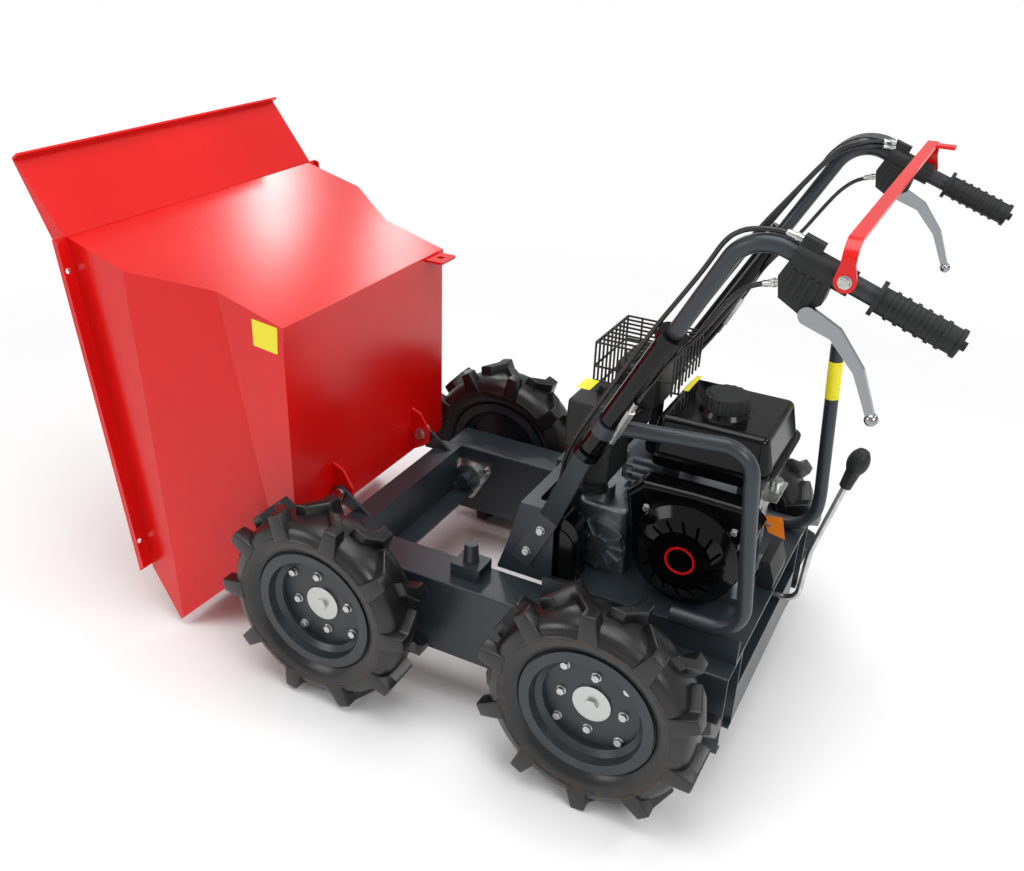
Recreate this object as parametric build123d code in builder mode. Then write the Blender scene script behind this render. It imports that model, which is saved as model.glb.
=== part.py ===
"""Site dumper: a four-wheel walk-behind power barrow with its skip tipped forward.

Millimetres. +X is forward (the skip's side), +Y the machine's left, +Z up, the ground is Z = 0,
and the origin lies on the ground under the middle of the overall box.
Two box-section side cases carry four stub axles, the skip hinges on ears at their front end,
and the engine, the gearbox console and the two handles stand behind it.
"""
import os
from math import atan2, cos, degrees, hypot, radians, sin, tan

from build123d import *

os.makedirs("parts", exist_ok=True)

# ---------------------------------------------------------------- driving dimensions
REAR_AXLE_X = -380.0      # rear axle from the origin
WHEELBASE = 540.0
TRACK_HALF = 357.0        # wheel mid-plane from the centre plane
FIT = 0.05                # radial clearance of a running shaft
SEAT = 0.2                # gap between a piece and the seat that holds it
RUNNING_GAP = 0.6         # gap between faces that turn past each other
SHEET = 4.0               # chassis sheet

# wheels and tyres
TYRE_R = 202.0            # over the lugs
LUG_H = 19.0
CASING_HALF_W = 50.0
LUG_HALF_W = 53.0
SHOULDER_R = 158.0
LUG_W = 25.0
LUG_COUNT = 10            # lugs on each side of the tread
LUG_SWEEP = 30.0          # how far a lug's inner end lies ahead of its shoulder end
RIM_FLANGE_R = 119.0
RIM_HALF_W = 38.6
BEAD_R = 102.0
WELL_R = 90.0
WELL_HALF_W = 12.0
RIM_SHEET = 3.5
HUB_RECESS = 33.0         # hub plate behind the outer rim flange
HUB_PLATE = 6.0
HUB_DISC_R = 34.0
HUB_DISC_T = 4.0
HUB_NUT_R = 12.0
HUB_NUT_T = 6.0
AXLE_R = 15.0
AXLE_INNER_Y = 148.0      # inner end of each stub axle

# side cases
CASE_TOP = 268.0
CASE_H = 158.0
CASE_IN_Y = 192.0
CASE_W = 86.0
CASE_REAR_X = -575.0
CASE_LEN = 795.0
CASE_LIP = 14.0

# bearings
BEARING_R = 29.0
BEARING_RING_R = 31.0
BEARING_RING_L = 12.0
BEARING_PLATE_T = 7.0
BEARING_BOLT_R = 47.0     # bolt circle of the three-bolt flange
BEARING_LOBE_R = 13.0

# crossmembers and engine bed
CROSS_WEB_X = 186.0
CROSS_TOP_W = 49.0
CROSS_H = 98.0
CROSS_LIP = 44.0
CROSS_NOTCH_L = 21.0      # the crossmember's ends are cut away round the front bearings
CROSS_NOTCH_H = 71.0
REAR_CROSS_W = 60.0
REAR_CROSS_H = 80.0
BED_FRONT_X = -220.0
BED_T = 6.0
BED_HALF_W = 235.0
BED_WALL_H = 46.5         # upturned left edge that carries the guard tube
BED_CORNER_R = 20.0
GEAR_LUG_L = 20.0         # lug under the bed that holds the gear lever's foot
GEAR_LUG_W = 30.0
GEAR_LUG_H = 68.0

# console
CONSOLE_HALF_W = 184.0
CONSOLE_REAR_X = -214.0
CONSOLE_FOOT_X = -106.0
CONSOLE_KNEE_X = -124.0
CONSOLE_TOP_X = -148.0
CONSOLE_KNEE_H = 60.0
CONSOLE_H = 152.0
CONSOLE_SLOT_L = 84.0
CONSOLE_SLOT_W = 20.0
CONSOLE_SLOT_PITCH = 116.0

# skip, drawn as it stands when tipped: its floor is upright and its mouth faces forward
HINGE_X = 265.0
HINGE_Z = 299.0
PIN_R = 8.0
PIN_HEAD_R = 13.0
PIN_HEAD_T = 7.0
HINGE_FLOOR_GAP = 22.0    # from the pin's axis to the outer face of the floor
SKIP_T = 3.0
SKIP_FLOOR_HALF_W = 272.0
SKIP_SIDE_HALF_W = 357.0
SKIP_RIM_HALF_W = 350.0
SKIP_REAR_Z = 685.0       # floor's rear edge, on top while tipped
SKIP_FRONT_Z = 250.0      # floor's front edge, where the chute begins
SKIP_RIM_REAR_X = 700.0
SKIP_RIM_REAR_Z = 800.0
SKIP_RIM_FRONT_X = 610.0
SKIP_RIM_FRONT_Z = 125.0
SKIP_NOSE_X = 538.0
SKIP_NOSE_Z = 13.0
FOLD_A_DEPTH = 146.0      # lower side fold from the floor, at the rear edge's height
FOLD_A_SLOPE = 0.178      # how fast that fold nears the floor towards the chute
FOLD_B_DEPTH = 274.0      # upper side fold from the floor, at the rear edge's height
FOLD_B_SLOPE = 0.044
LIP_OUT_X = 797.0
LIP_OUT_Z = 926.0
LIP_HALF_W = 356.0
LIP_RETURN = 17.0
RIM_FLANGE_W = 30.0
RIM_RETURN = 11.0
FLANGE_HOLE_R = 5.5
FLANGE_HOLE_INSET = 60.0
FLANGE_HOLE_PITCH = 560.0
FLOOR_STRIP_H = 26.0
EAR_Y = 145.0             # middle of each skip ear
EAR_T = 6.0
EAR_R = 22.0
EAR_H = 92.0
HINGE_PLATE_T = 6.0
HINGE_PLATE_GAP = 5.5
HINGE_NOSE_R = 15.5
PIN_NUT_R = 12.0
PIN_WASHER_T = 2.5
LATCH_W = 60.0
LATCH_L = 42.0
LATCH_T = 5.0
LATCH_HOLE = 15.0
LATCH_Y = -226.0

# bump stops
BUMP_X = -73.0
BUMP_Y = 225.0
BUMP_L = 58.0
BUMP_W = 50.0
BUMP_H = 26.0
BUMP_RUBBER_R = 15.0
BUMP_RUBBER_H = 38.0

# engine
CRANK_X = -437.0
CRANK_Z = 378.0
BLOCK_L = 168.0
BLOCK_HALF_W = 82.0
SHROUD_W = 238.0
SHROUD_T = 42.0
SHROUD_H = 206.0
RECOIL_R = 96.0
RECOIL_T = 32.0
TANK_REAR_X = -556.0
TANK_L = 232.0
TANK_LEFT_Y = 90.0
TANK_W = 224.0
TANK_SEAM_Z = 528.0
TANK_LOW_H = 26.0
TANK_UP_H = 68.0
SEAM_T = 5.0
SEAM_W = 8.0
CAP_X = -440.0
CAP_R = 41.0
CAP_H = 24.0
CAP_NOTCH_R = 4.0
AIR_REAR_X = -292.0
AIR_L = 90.0
AIR_RIGHT_Y = 36.0
AIR_W = 112.0
AIR_BASE_Z = 478.0
AIR_BASE_H = 60.0
AIR_COVER_H = 84.0
MUFFLER_REAR_X = -318.0
MUFFLER_L = 84.0
MUFFLER_LEFT_Y = 8.0
MUFFLER_W = 112.0
MUFFLER_Z = 562.0
MUFFLER_H = 84.0
CAGE_REAR_X = -350.0
CAGE_L = 145.0
CAGE_LEFT_Y = 27.0
CAGE_W = 150.0
CAGE_LOW_Z = 548.0
CAGE_H = 134.0
CAGE_WIRE = 3.0
CAGE_BARS = 9             # wires bent over the top
CAGE_RINGS = 4            # wires round the sides

CAGE_REAR_LOW_Z = 612.0   # the rear wires stop above the fuel tank
CAGE_POSTS = 4
CAGE_STRAP_W = 22.0
BLOCK_OFFSET = 4.0
BLOCK_H = 156.0
BLOCK_CORNER_R = 10.0
SUMP_LEDGE = 10.0
POST_PITCH_X = 130.0
POST_PITCH_Y = 120.0
POST_W = 26.0
HEAD_Z = 415.0
HEAD_H = 85.0
HEAD_L = 65.0
HEAD_HALF_W = 60.0
FIN_COUNT = 6
FIN_T = 4.0
FIN_REACH = 10.0
VALVE_COVER_Y = -12.0
VALVE_COVER_W = 78.0
VALVE_COVER_H = 60.0
VALVE_COVER_T = 18.0
SHROUD_LOW_Z = 285.0
SHROUD_BELLY_R = 104.0
SHROUD_STEP = 30.0
SHROUD_EDGE_R = 9.0
RECOIL_LUG_R = 9.0
RECOIL_LUG_T = 5.0
RECOIL_LUG_TURNS = (35.0, 145.0)
RECOIL_RIM_T = 12.0
RECOIL_SHOULDER_T = 22.0
RECOIL_SHOULDER_R = 78.0
RECOIL_FACE_R = 56.0
RECOIL_DISC_R = 28.0
RECOIL_DISC_SINK = 2.0
RECOIL_SLOTS = 16
RECOIL_SLOT_R = 62.0
RECOIL_SLOT_L = 26.0
RECOIL_SLOT_W = 5.0
RECOIL_SLOT_LEAN = 25.0
RECOIL_SLOT_DEPTH = 10.0
RECOIL_GRIP = (-66.0, 58.0)
RECOIL_GRIP_R = 9.0
RECOIL_GRIP_L = 16.0
TANK_CORNER_R = 26.0
TANK_LOW_TAPER = 14.0
TANK_UP_TAPER = 12.0
TANK_EDGE_R = 12.0
CAP_Y = -5.0
NECK_LEDGE = 6.0
NECK_H = 8.0
NECK_TAPER = 30.0
CAP_NOTCHES = 18
CAP_TAPER = 5.0
CAP_CROWN_H = 3.0
CAP_CROWN_TAPER = 40.0
AIR_GROOVE = 6.0
AIR_CORNER_R = 14.0
AIR_TAPER = 3.0
AIR_EDGE_R = 9.0
WING_NUT_R = 9.0
WING_NUT_H = 12.0
WING_L = 22.0
WING_T = 5.0
MUFFLER_CORNER_R = 20.0
MUFFLER_EDGE_R = 10.0
MUFFLER_RIB_W = 4.0
PIPE_X = -304.0
PIPE_Y = -45.0
PIPE_R = 12.0
THROTTLE_Y = -32.0
THROTTLE_Z = 450.0
THROTTLE_W = 100.0
THROTTLE_H = 90.0
THROTTLE_T = 3.0
THROTTLE_HOLE_R = 8.0
THROTTLE_SHELF = 26.0
THROTTLE_DRUM_R = 11.0
SWITCH_REAR_X = -573.0
SWITCH_Y = -35.0
SWITCH_W = 90.0
SWITCH_L = 30.0
SWITCH_H = 56.0

# gearbox, its intake boot and the pulley guard
GEARBOX_X = -270.0
GEARBOX_Y = 2.0
GEARBOX_L = 104.0
GEARBOX_W = 196.0
GEARBOX_H = 134.0
GEARBOX_CORNER_R = 16.0
COVER_Z = 330.0
COVER_R = 52.0
COVER_T = 10.0
COVER_HUB_R = 20.0
COVER_RIBS = 12
COVER_RIB_W = 4.0
NECK_R = 30.0
BOOT_X = -246.0
BOOT_Y = 92.0
BOOT_Z = 432.0
BOOT_R = 27.0
BOOT_STEP = 6.0
BOOT_FOLDS = 3
BOOT_FOLD_DEPTH = 5.0
PULLEY_GUARD_REAR_X = -254.0
PULLEY_GUARD_L = 90.0
PULLEY_GUARD_H = 126.0
PULLEY_GUARD_Y = 121.0
PULLEY_GUARD_T = 46.0
PULLEY_GUARD_R = 34.0

# handles: each tube rises rearward and outward from the console, then bends back to its grip
BAR_BOLT_LOW = (-167.5, 329.0)    # X, Z of the flat bar's lower bolt
BAR_BOLT_HIGH = (-193.0, 380.0)   # X, Z of its upper bolt
BAR_END = 30.0                    # bar beyond each bolt
BAR_W = 38.0
BAR_T = 8.0
COLLAR_LOW = (-291.0, 250.0, 590.0)
TUBE_CORNER = (-521.6, 331.5, 1012.4)
GRIP_FLANGE = (-683.0, 332.0, 954.0)
GRIP_L = 113.0
TUBE_R = 12.5
TUBE_BEND_R = 62.0
SLEEVE_R = 18.0
SLEEVE_L = 288.0
COLLAR_R = 22.5
COLLAR_T = 15.0
GRIP_R = 17.0
GRIP_FLANGE_R = 23.0
GRIP_FLANGE_T = 6.0
GRIP_NUB_R = 6.0
GRIP_NUB_L = 6.3
GRIP_RINGS = 6
GRIP_RING_H = 2.0
GRIP_RING_W = 5.0
TUBE_INSERT = 70.0        # length of tube held in the sleeve
HOUSING_AT = 90.0         # lever housing from the tube's corner, along the grip
HOUSING_L = 56.0
HOUSING_HALF_W = 15.0
HOUSING_DROP = 62.0
HOUSING_RIB_H = 2.0
HOUSING_RIB_W = 5.0
CLAMP_R = 17.0
PIVOT_ALONG = 42.0
PIVOT_UP = 6.0
PIVOT_BOSS_R = 9.0
PIVOT_Y = 20.0
LEVER_SHAPE = (           # X, Z, half width along the lever
    (-611.0, 922.0, 12.0),
    (-648.0, 906.0, 9.0),
    (-684.0, 864.0, 7.0),
    (-710.0, 804.0, 5.5),
)
LEVER_T = 8.0
LEVER_BALL_R = 9.0
BAIL_W = 18.0
BAIL_T = 5.0
BAIL_TOP_Z = 1018.0
BAIL_BEND_R = 24.0
BAIL_EAR_R = 14.0
BAIL_TAB_L = 30.0
BAIL_TAB_W = 22.0
COVER_PLATE_W = 44.0
COVER_PLATE_LIFT = 19.0
COVER_PLATE_T = 3.0
COVER_PLATE_REACH = 58.0
COVER_SADDLE_L = 10.0     # blocks that hold the plate off the tube
COVER_SADDLE_W = 20.0
GUARD_MEET_AT = 74.0      # guard clamp from the lower collar, along the sleeve
GUARD_TOP_REAR = (-547.0, 658.0)
GUARD_LOW_REAR_X = -577.0
GUARD_FOOT_X = -455.0

# guard tube, release lever, gear lever
GUARD_R = 12.5
GUARD_BEND_R = 50.0
RELEASE_Y = -214.0
GEAR_ROD_R = 6.0
GEAR_Y = -80.0
GEAR_ROD = ((-430.0, 207.0), (-606.0, 207.0), (-613.0, 320.0), (-650.0, 470.0))
GEAR_BEND_R = 28.0
KNOB_L = 80.0
KNOB_R = 19.0
KNOB_NECK_R = 11.0
RELEASE_FOOT_X = -470.0
RELEASE_CORNER_X = -590.0
RELEASE_MID = (-595.0, 360.0)
RELEASE_TOP = (-573.0, 673.0)
RELEASE_BEND_R = 58.0

FRONT_AXLE_X = REAR_AXLE_X + WHEELBASE
AXLE_Z = TYRE_R
CASE_BOTTOM = CASE_TOP - CASE_H
CASE_OUT_Y = CASE_IN_Y + CASE_W
BED_TOP = CASE_TOP + BED_T
SIDES = (("left", 1), ("right", -1))
AXLES = (("front", FRONT_AXLE_X), ("rear", REAR_AXLE_X))


def side_plane(y):
    """Plane of the X and Z axes at a distance y to the left, whose extrusions run rightward."""
    return Plane.XZ.offset(-y)


def tube(points, radius, bend_r):
    """Round bar swept along straight runs joined by arcs."""
    with BuildPart() as bar:
        with BuildLine() as route:
            FilletPolyline(*points, radius=bend_r)
        start = Plane(origin=route.line @ 0, z_dir=route.line % 0)
        with BuildSketch(start):
            Circle(radius)
        sweep(path=route.line)
    return bar.part


def along(start, direction, distance):
    """Point at a distance from the start along a direction."""
    return Vector(*start) + Vector(*direction).normalized() * distance


def write_pair(piece, name):
    """Write a left-hand piece and its mirror image on the right."""
    write(piece, f"{name}_left")
    with BuildPart() as twin:
        add(piece.part.mirror(Plane.XZ))
    write(twin, f"{name}_right")


def write(piece, name):
    """Label a finished piece and write its STEP file."""
    piece.part.label = name
    export_step(piece.part, f"parts/{name}.step")


# ---------------------------------------------------------------- side cases
for side, sign in SIDES:
    near_y = max(sign * CASE_IN_Y, sign * CASE_OUT_Y)
    mid_y = sign * (CASE_IN_Y + CASE_OUT_Y) / 2
    with BuildPart() as side_case:
        with BuildSketch(Plane.YZ.offset(CASE_REAR_X)):
            with Locations((mid_y, CASE_TOP - CASE_H / 2)):
                Rectangle(CASE_W, CASE_H)
            with Locations((mid_y, CASE_TOP - SHEET - (CASE_H - 2 * SHEET) / 2)):
                Rectangle(CASE_W - 2 * SHEET, CASE_H - 2 * SHEET, mode=Mode.SUBTRACT)
            with Locations((mid_y, CASE_BOTTOM)):
                Rectangle(CASE_W - 2 * SHEET - 2 * CASE_LIP, 3 * SHEET, mode=Mode.SUBTRACT)
        extrude(amount=CASE_LEN)
        long_edges = side_case.edges().filter_by(Axis.X).group_by(Axis.Z)[-1]
        fillet(long_edges.sort_by(Axis.Y)[0::len(long_edges) - 1], radius=SHEET)
        with BuildSketch(side_plane(near_y)):
            with Locations(*[(axle_x, AXLE_Z) for _, axle_x in AXLES]):
                Circle(BEARING_R + SEAT)
        extrude(amount=CASE_W, mode=Mode.SUBTRACT)
    write(side_case, f"side_case_{side}")

# ---------------------------------------------------------------- crossmembers and engine bed
CROSS_FRONT_X = CROSS_WEB_X + CROSS_TOP_W
CROSS_HALF_L = CASE_IN_Y - SEAT
PLATE_IN_Y = EAR_Y + EAR_T / 2 + HINGE_PLATE_GAP
with BuildPart() as front_crossmember:
    with BuildSketch(side_plane(CROSS_HALF_L)):
        with Locations((CROSS_WEB_X, CASE_TOP - SHEET)):
            Rectangle(CROSS_TOP_W, SHEET, align=(Align.MIN, Align.MIN))
        with Locations((CROSS_WEB_X, CASE_TOP)):
            Rectangle(SHEET, CROSS_H, align=(Align.MIN, Align.MAX))
        with Locations((CROSS_WEB_X + SHEET, CASE_TOP - CROSS_H)):
            Rectangle(CROSS_LIP + SHEET, SHEET, align=(Align.MAX, Align.MIN))
    extrude(amount=2 * CROSS_HALF_L)
    for sign in (1, -1):
        plate_y = max(sign * PLATE_IN_Y, sign * (PLATE_IN_Y + HINGE_PLATE_T))
        with BuildSketch(side_plane(plate_y)):
            with BuildLine():
                Line((CROSS_WEB_X + SHEET, CASE_TOP - SHEET), (CROSS_FRONT_X, CASE_TOP - SHEET))
                CenterArc((HINGE_X, HINGE_Z), HINGE_NOSE_R, 0, 360)
            make_hull()
            with Locations((HINGE_X, HINGE_Z)):
                Circle(PIN_R, mode=Mode.SUBTRACT)
        extrude(amount=HINGE_PLATE_T)
        with BuildSketch(Plane.XY.offset(CASE_TOP - CROSS_H)):
            with Locations((CROSS_FRONT_X, sign * CROSS_HALF_L)):
                Rectangle(
                    2 * CROSS_LIP + CROSS_TOP_W,
                    2 * CROSS_NOTCH_L,
                    align=(Align.MAX, Align.CENTER),
                )
        extrude(amount=CROSS_NOTCH_H, mode=Mode.SUBTRACT)
write(front_crossmember, "front_crossmember")

with BuildPart() as rear_crossmember:
    with BuildSketch(side_plane(CROSS_HALF_L)):
        with Locations((CASE_REAR_X, CASE_BOTTOM + SHEET)):
            Rectangle(REAR_CROSS_W, REAR_CROSS_H, align=(Align.MIN, Align.MIN))
        with Locations((CASE_REAR_X + SHEET, CASE_BOTTOM + 2 * SHEET)):
            Rectangle(REAR_CROSS_W, REAR_CROSS_H - 2 * SHEET, align=(Align.MIN, Align.MIN), mode=Mode.SUBTRACT)
    extrude(amount=2 * CROSS_HALF_L)
write(rear_crossmember, "rear_crossmember")

with BuildPart() as engine_bed:
    with BuildSketch(Plane.YZ.offset(CASE_REAR_X)):
        with Locations((0, CASE_TOP)):
            Rectangle(2 * BED_HALF_W, BED_T, align=(Align.CENTER, Align.MIN))
        with Locations((BED_HALF_W, CASE_TOP)):
            Rectangle(BED_T, BED_WALL_H, align=(Align.MAX, Align.MIN))
    extrude(amount=BED_FRONT_X - CASE_REAR_X)
    right_corners = engine_bed.edges().filter_by(Axis.Z).group_by(Axis.Y)[0]
    fillet(right_corners, radius=BED_CORNER_R)
    with BuildSketch(Plane.XY.offset(CASE_TOP)):
        with Locations((BED_FRONT_X, 0)):
            Rectangle(CONSOLE_FOOT_X - BED_FRONT_X, 2 * CONSOLE_HALF_W, align=(Align.MIN, Align.CENTER))
    extrude(amount=BED_T)
    with BuildSketch(Plane.XY.offset(CASE_TOP)):
        with Locations((GEAR_ROD[0][0], GEAR_Y)):
            Rectangle(GEAR_LUG_L, GEAR_LUG_W)
    extrude(amount=-GEAR_LUG_H)
    with BuildSketch(Plane.YZ.offset(GEAR_ROD[0][0] - GEAR_LUG_L)):
        with Locations((GEAR_Y, GEAR_ROD[0][1])):
            Circle(GEAR_ROD_R + SEAT)
    extrude(amount=2 * GEAR_LUG_L, mode=Mode.SUBTRACT)
write(engine_bed, "engine_bed")

# ---------------------------------------------------------------- axle bearings
for side, sign in SIDES:
    for end, axle_x in AXLES:
        inward = Plane(origin=(axle_x, sign * CASE_IN_Y, AXLE_Z), x_dir=(1, 0, 0), z_dir=(0, -sign, 0))
        with BuildPart() as axle_bearing:
            with BuildSketch(inward):
                with BuildLine():
                    for turn in (90 * sign, 90 * sign + 120, 90 * sign + 240):
                        lobe = (BEARING_BOLT_R * cos(radians(turn)), -BEARING_BOLT_R * sin(radians(turn)))
                        CenterArc(lobe, BEARING_LOBE_R, 0, 360)
                make_hull()
            extrude(amount=BEARING_PLATE_T)
            with BuildSketch(inward):
                Circle(BEARING_RING_R)
            extrude(amount=BEARING_PLATE_T + BEARING_RING_L)
            with BuildSketch(inward.offset(-CASE_W)):
                Circle(BEARING_R)
            extrude(amount=CASE_W)
            with BuildSketch(inward.offset(-CASE_W - SHEET)):
                Circle(AXLE_R + FIT)
            extrude(amount=CASE_W + BEARING_PLATE_T + BEARING_RING_L + 2 * SHEET, mode=Mode.SUBTRACT)
        write(axle_bearing, f"axle_bearing_{end}_{side}")

# ---------------------------------------------------------------- wheel rims with hubs and stub axles
HUB_FACE = RIM_HALF_W - HUB_RECESS        # outward of the wheel's mid-plane
FLANGE_IN = RIM_HALF_W - RIM_SHEET
RIM_SKIN = (                              # outward, radius: the tyre's side of the rim
    (RIM_HALF_W, RIM_FLANGE_R),
    (FLANGE_IN, RIM_FLANGE_R),
    (FLANGE_IN, BEAD_R),
    (WELL_HALF_W + 8, BEAD_R - 2),
    (WELL_HALF_W, WELL_R),
)
RIM_BARREL = (                            # outward, radius: the open side of the rim
    (WELL_HALF_W + RIM_SHEET, WELL_R - RIM_SHEET),
    (WELL_HALF_W + 8 + RIM_SHEET, BEAD_R - 2 - RIM_SHEET),
    (RIM_HALF_W, BEAD_R - RIM_SHEET + 2),
)
for side, sign in SIDES:
    for end, axle_x in AXLES:
        across = Plane(origin=(axle_x, sign * TRACK_HALF, AXLE_Z), x_dir=(0, sign, 0), z_dir=(1, 0, 0))
        outward = Plane(origin=(axle_x, sign * TRACK_HALF, AXLE_Z), x_dir=(1, 0, 0), z_dir=(0, sign, 0))
        axle = Axis((axle_x, 0, AXLE_Z), (0, 1, 0))
        with BuildPart() as wheel_rim:
            with BuildSketch(across):
                with BuildLine():
                    Polyline(
                        *RIM_SKIN,
                        *[(-out, r) for out, r in reversed(RIM_SKIN)],
                        *[(-out, r) for out, r in reversed(RIM_BARREL)],
                        *RIM_BARREL,
                        close=True,
                    )
                make_face()
            revolve(axis=axle)
            with BuildSketch(outward.offset(HUB_FACE - HUB_PLATE)):
                Circle(WELL_R - RIM_SHEET / 2)
            extrude(amount=HUB_PLATE)
            with BuildSketch(outward.offset(HUB_FACE)):
                Circle(HUB_DISC_R)
            extrude(amount=HUB_DISC_T)
            with BuildSketch(outward.offset(HUB_FACE + HUB_DISC_T)):
                RegularPolygon(HUB_NUT_R, 6)
            extrude(amount=HUB_NUT_T)
            with BuildSketch(outward.offset(AXLE_INNER_Y - TRACK_HALF)):
                Circle(AXLE_R)
            extrude(amount=TRACK_HALF - AXLE_INNER_Y + HUB_FACE)
        write(wheel_rim, f"wheel_rim_{end}_{side}")

# ---------------------------------------------------------------- tyres
TREAD_R = TYRE_R - LUG_H
CASING = (                                # outward, radius: half of the casing's section
    (0, TREAD_R),
    (22, TREAD_R - 2),
    (38, TREAD_R - 9),
    (CASING_HALF_W - 2, SHOULDER_R + 4),
    (CASING_HALF_W, SHOULDER_R - 12),
    (CASING_HALF_W - 4, SHOULDER_R - 28),
    (RIM_HALF_W + 1, RIM_FLANGE_R + 3),
    (FLANGE_IN - SEAT, RIM_FLANGE_R + SEAT),
    (FLANGE_IN - SEAT, BEAD_R + SEAT),
)
LUG_TOP = (TYRE_R ** 2 - ((LUG_W + LUG_SWEEP) / 2) ** 2) ** 0.5
LUG_ROOT = SHOULDER_R - 4
LUG_OUTLINE = (                           # along the tread, outward
    (-(LUG_SWEEP + LUG_W) / 2, LUG_HALF_W),
    (-(LUG_SWEEP + LUG_W) / 2, LUG_HALF_W * 0.42),
    ((LUG_SWEEP - LUG_W) / 2, -6),
    ((LUG_SWEEP + LUG_W) / 2, -6),
    ((LUG_W - LUG_SWEEP) / 2, LUG_HALF_W * 0.5),
    ((LUG_W - LUG_SWEEP) / 2, LUG_HALF_W),
)
LUG_PITCH = 360 / LUG_COUNT
with BuildPart() as lug_pair:
    with BuildSketch(Plane.XY.offset(LUG_ROOT)):
        with BuildLine():
            Polyline(*LUG_OUTLINE, close=True)
        make_face()
    extrude(amount=LUG_TOP - LUG_ROOT)
LUG_LEFT = lug_pair.part
LUG_RIGHT = LUG_LEFT.mirror(Plane.XZ).rotate(Axis.Y, LUG_PITCH / 2)
with BuildPart() as tyre_form:
    with BuildSketch(Plane.YZ):
        with BuildLine():
            Polyline(*CASING, *[(-out, r) for out, r in reversed(CASING[1:])], close=True)
        make_face()
    revolve(axis=Axis.Y)
    for turn in range(LUG_COUNT):
        add(LUG_LEFT.rotate(Axis.Y, turn * LUG_PITCH))
        add(LUG_RIGHT.rotate(Axis.Y, turn * LUG_PITCH))
LUG_PHASE = {"front_left": 60.0, "rear_left": 41.7, "front_right": 12.0, "rear_right": 25.0}
for side, sign in SIDES:
    for end, axle_x in AXLES:
        turned = tyre_form.part.rotate(Axis.Y, LUG_PHASE[f"{end}_{side}"])
        with BuildPart() as tyre:
            with Locations((axle_x, sign * TRACK_HALF, AXLE_Z)):
                add(turned if sign > 0 else turned.mirror(Plane.XZ))
        write(tyre, f"tyre_{end}_{side}")

# ---------------------------------------------------------------- skip
FLOOR_X = HINGE_X + HINGE_FLOOR_GAP
REAR_SLOPE = (SKIP_RIM_REAR_Z - SKIP_REAR_Z) / (SKIP_RIM_REAR_X - FLOOR_X)
CHUTE_SLOPE = (SKIP_NOSE_Z - SKIP_FRONT_Z) / (SKIP_NOSE_X - FLOOR_X)
RIM_SLOPE = (SKIP_RIM_REAR_X - SKIP_RIM_FRONT_X) / (SKIP_RIM_REAR_Z - SKIP_RIM_FRONT_Z)
OVERRUN = 60.0                            # cutting bodies reach this far past the mouth


def side_fold(z, inset, past_rim):
    """Half of the skip's level section at height z: across the floor, up the side, to the rim."""
    drop = SKIP_REAR_Z - z
    floor_x = FLOOR_X + inset
    return (
        (floor_x, SKIP_FLOOR_HALF_W - inset),
        (floor_x + FOLD_A_DEPTH - FOLD_A_SLOPE * (drop + OVERRUN), SKIP_FLOOR_HALF_W - inset),
        (floor_x + FOLD_B_DEPTH - FOLD_B_SLOPE * (drop + OVERRUN), SKIP_SIDE_HALF_W - inset),
        (SKIP_RIM_REAR_X - RIM_SLOPE * (SKIP_RIM_REAR_Z - z) + past_rim, SKIP_RIM_HALF_W - inset),
    )


def skip_body(inset, past_rim):
    """Lofted skip solid, between sections below the nose and above the rear wall."""
    with BuildPart() as body:
        for z in (SKIP_NOSE_Z - OVERRUN / 3, SKIP_RIM_REAR_Z + OVERRUN / 2):
            half = side_fold(z, inset, past_rim)
            with BuildSketch(Plane.XY.offset(z)):
                with BuildLine():
                    Polyline(*half, *[(x, -y) for x, y in reversed(half)], close=True)
                make_face()
        loft(ruled=True)
    return body.part


with BuildPart() as skip_hollow:
    add(skip_body(SKIP_T, OVERRUN))
    with BuildSketch(side_plane(SKIP_SIDE_HALF_W + OVERRUN)):
        with BuildLine():
            Polyline(
                (FLOOR_X, SKIP_REAR_Z),
                (SKIP_RIM_REAR_X + OVERRUN, SKIP_RIM_REAR_Z + REAR_SLOPE * OVERRUN),
                (SKIP_RIM_REAR_X + OVERRUN, SKIP_NOSE_Z + CHUTE_SLOPE * OVERRUN),
                (SKIP_NOSE_X + OVERRUN, SKIP_NOSE_Z + CHUTE_SLOPE * OVERRUN),
                (FLOOR_X, SKIP_FRONT_Z),
                close=True,
            )
        make_face()
        offset(amount=-SKIP_T, kind=Kind.INTERSECTION, mode=Mode.REPLACE)
    extrude(amount=2 * (SKIP_SIDE_HALF_W + OVERRUN), mode=Mode.INTERSECT)

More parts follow.
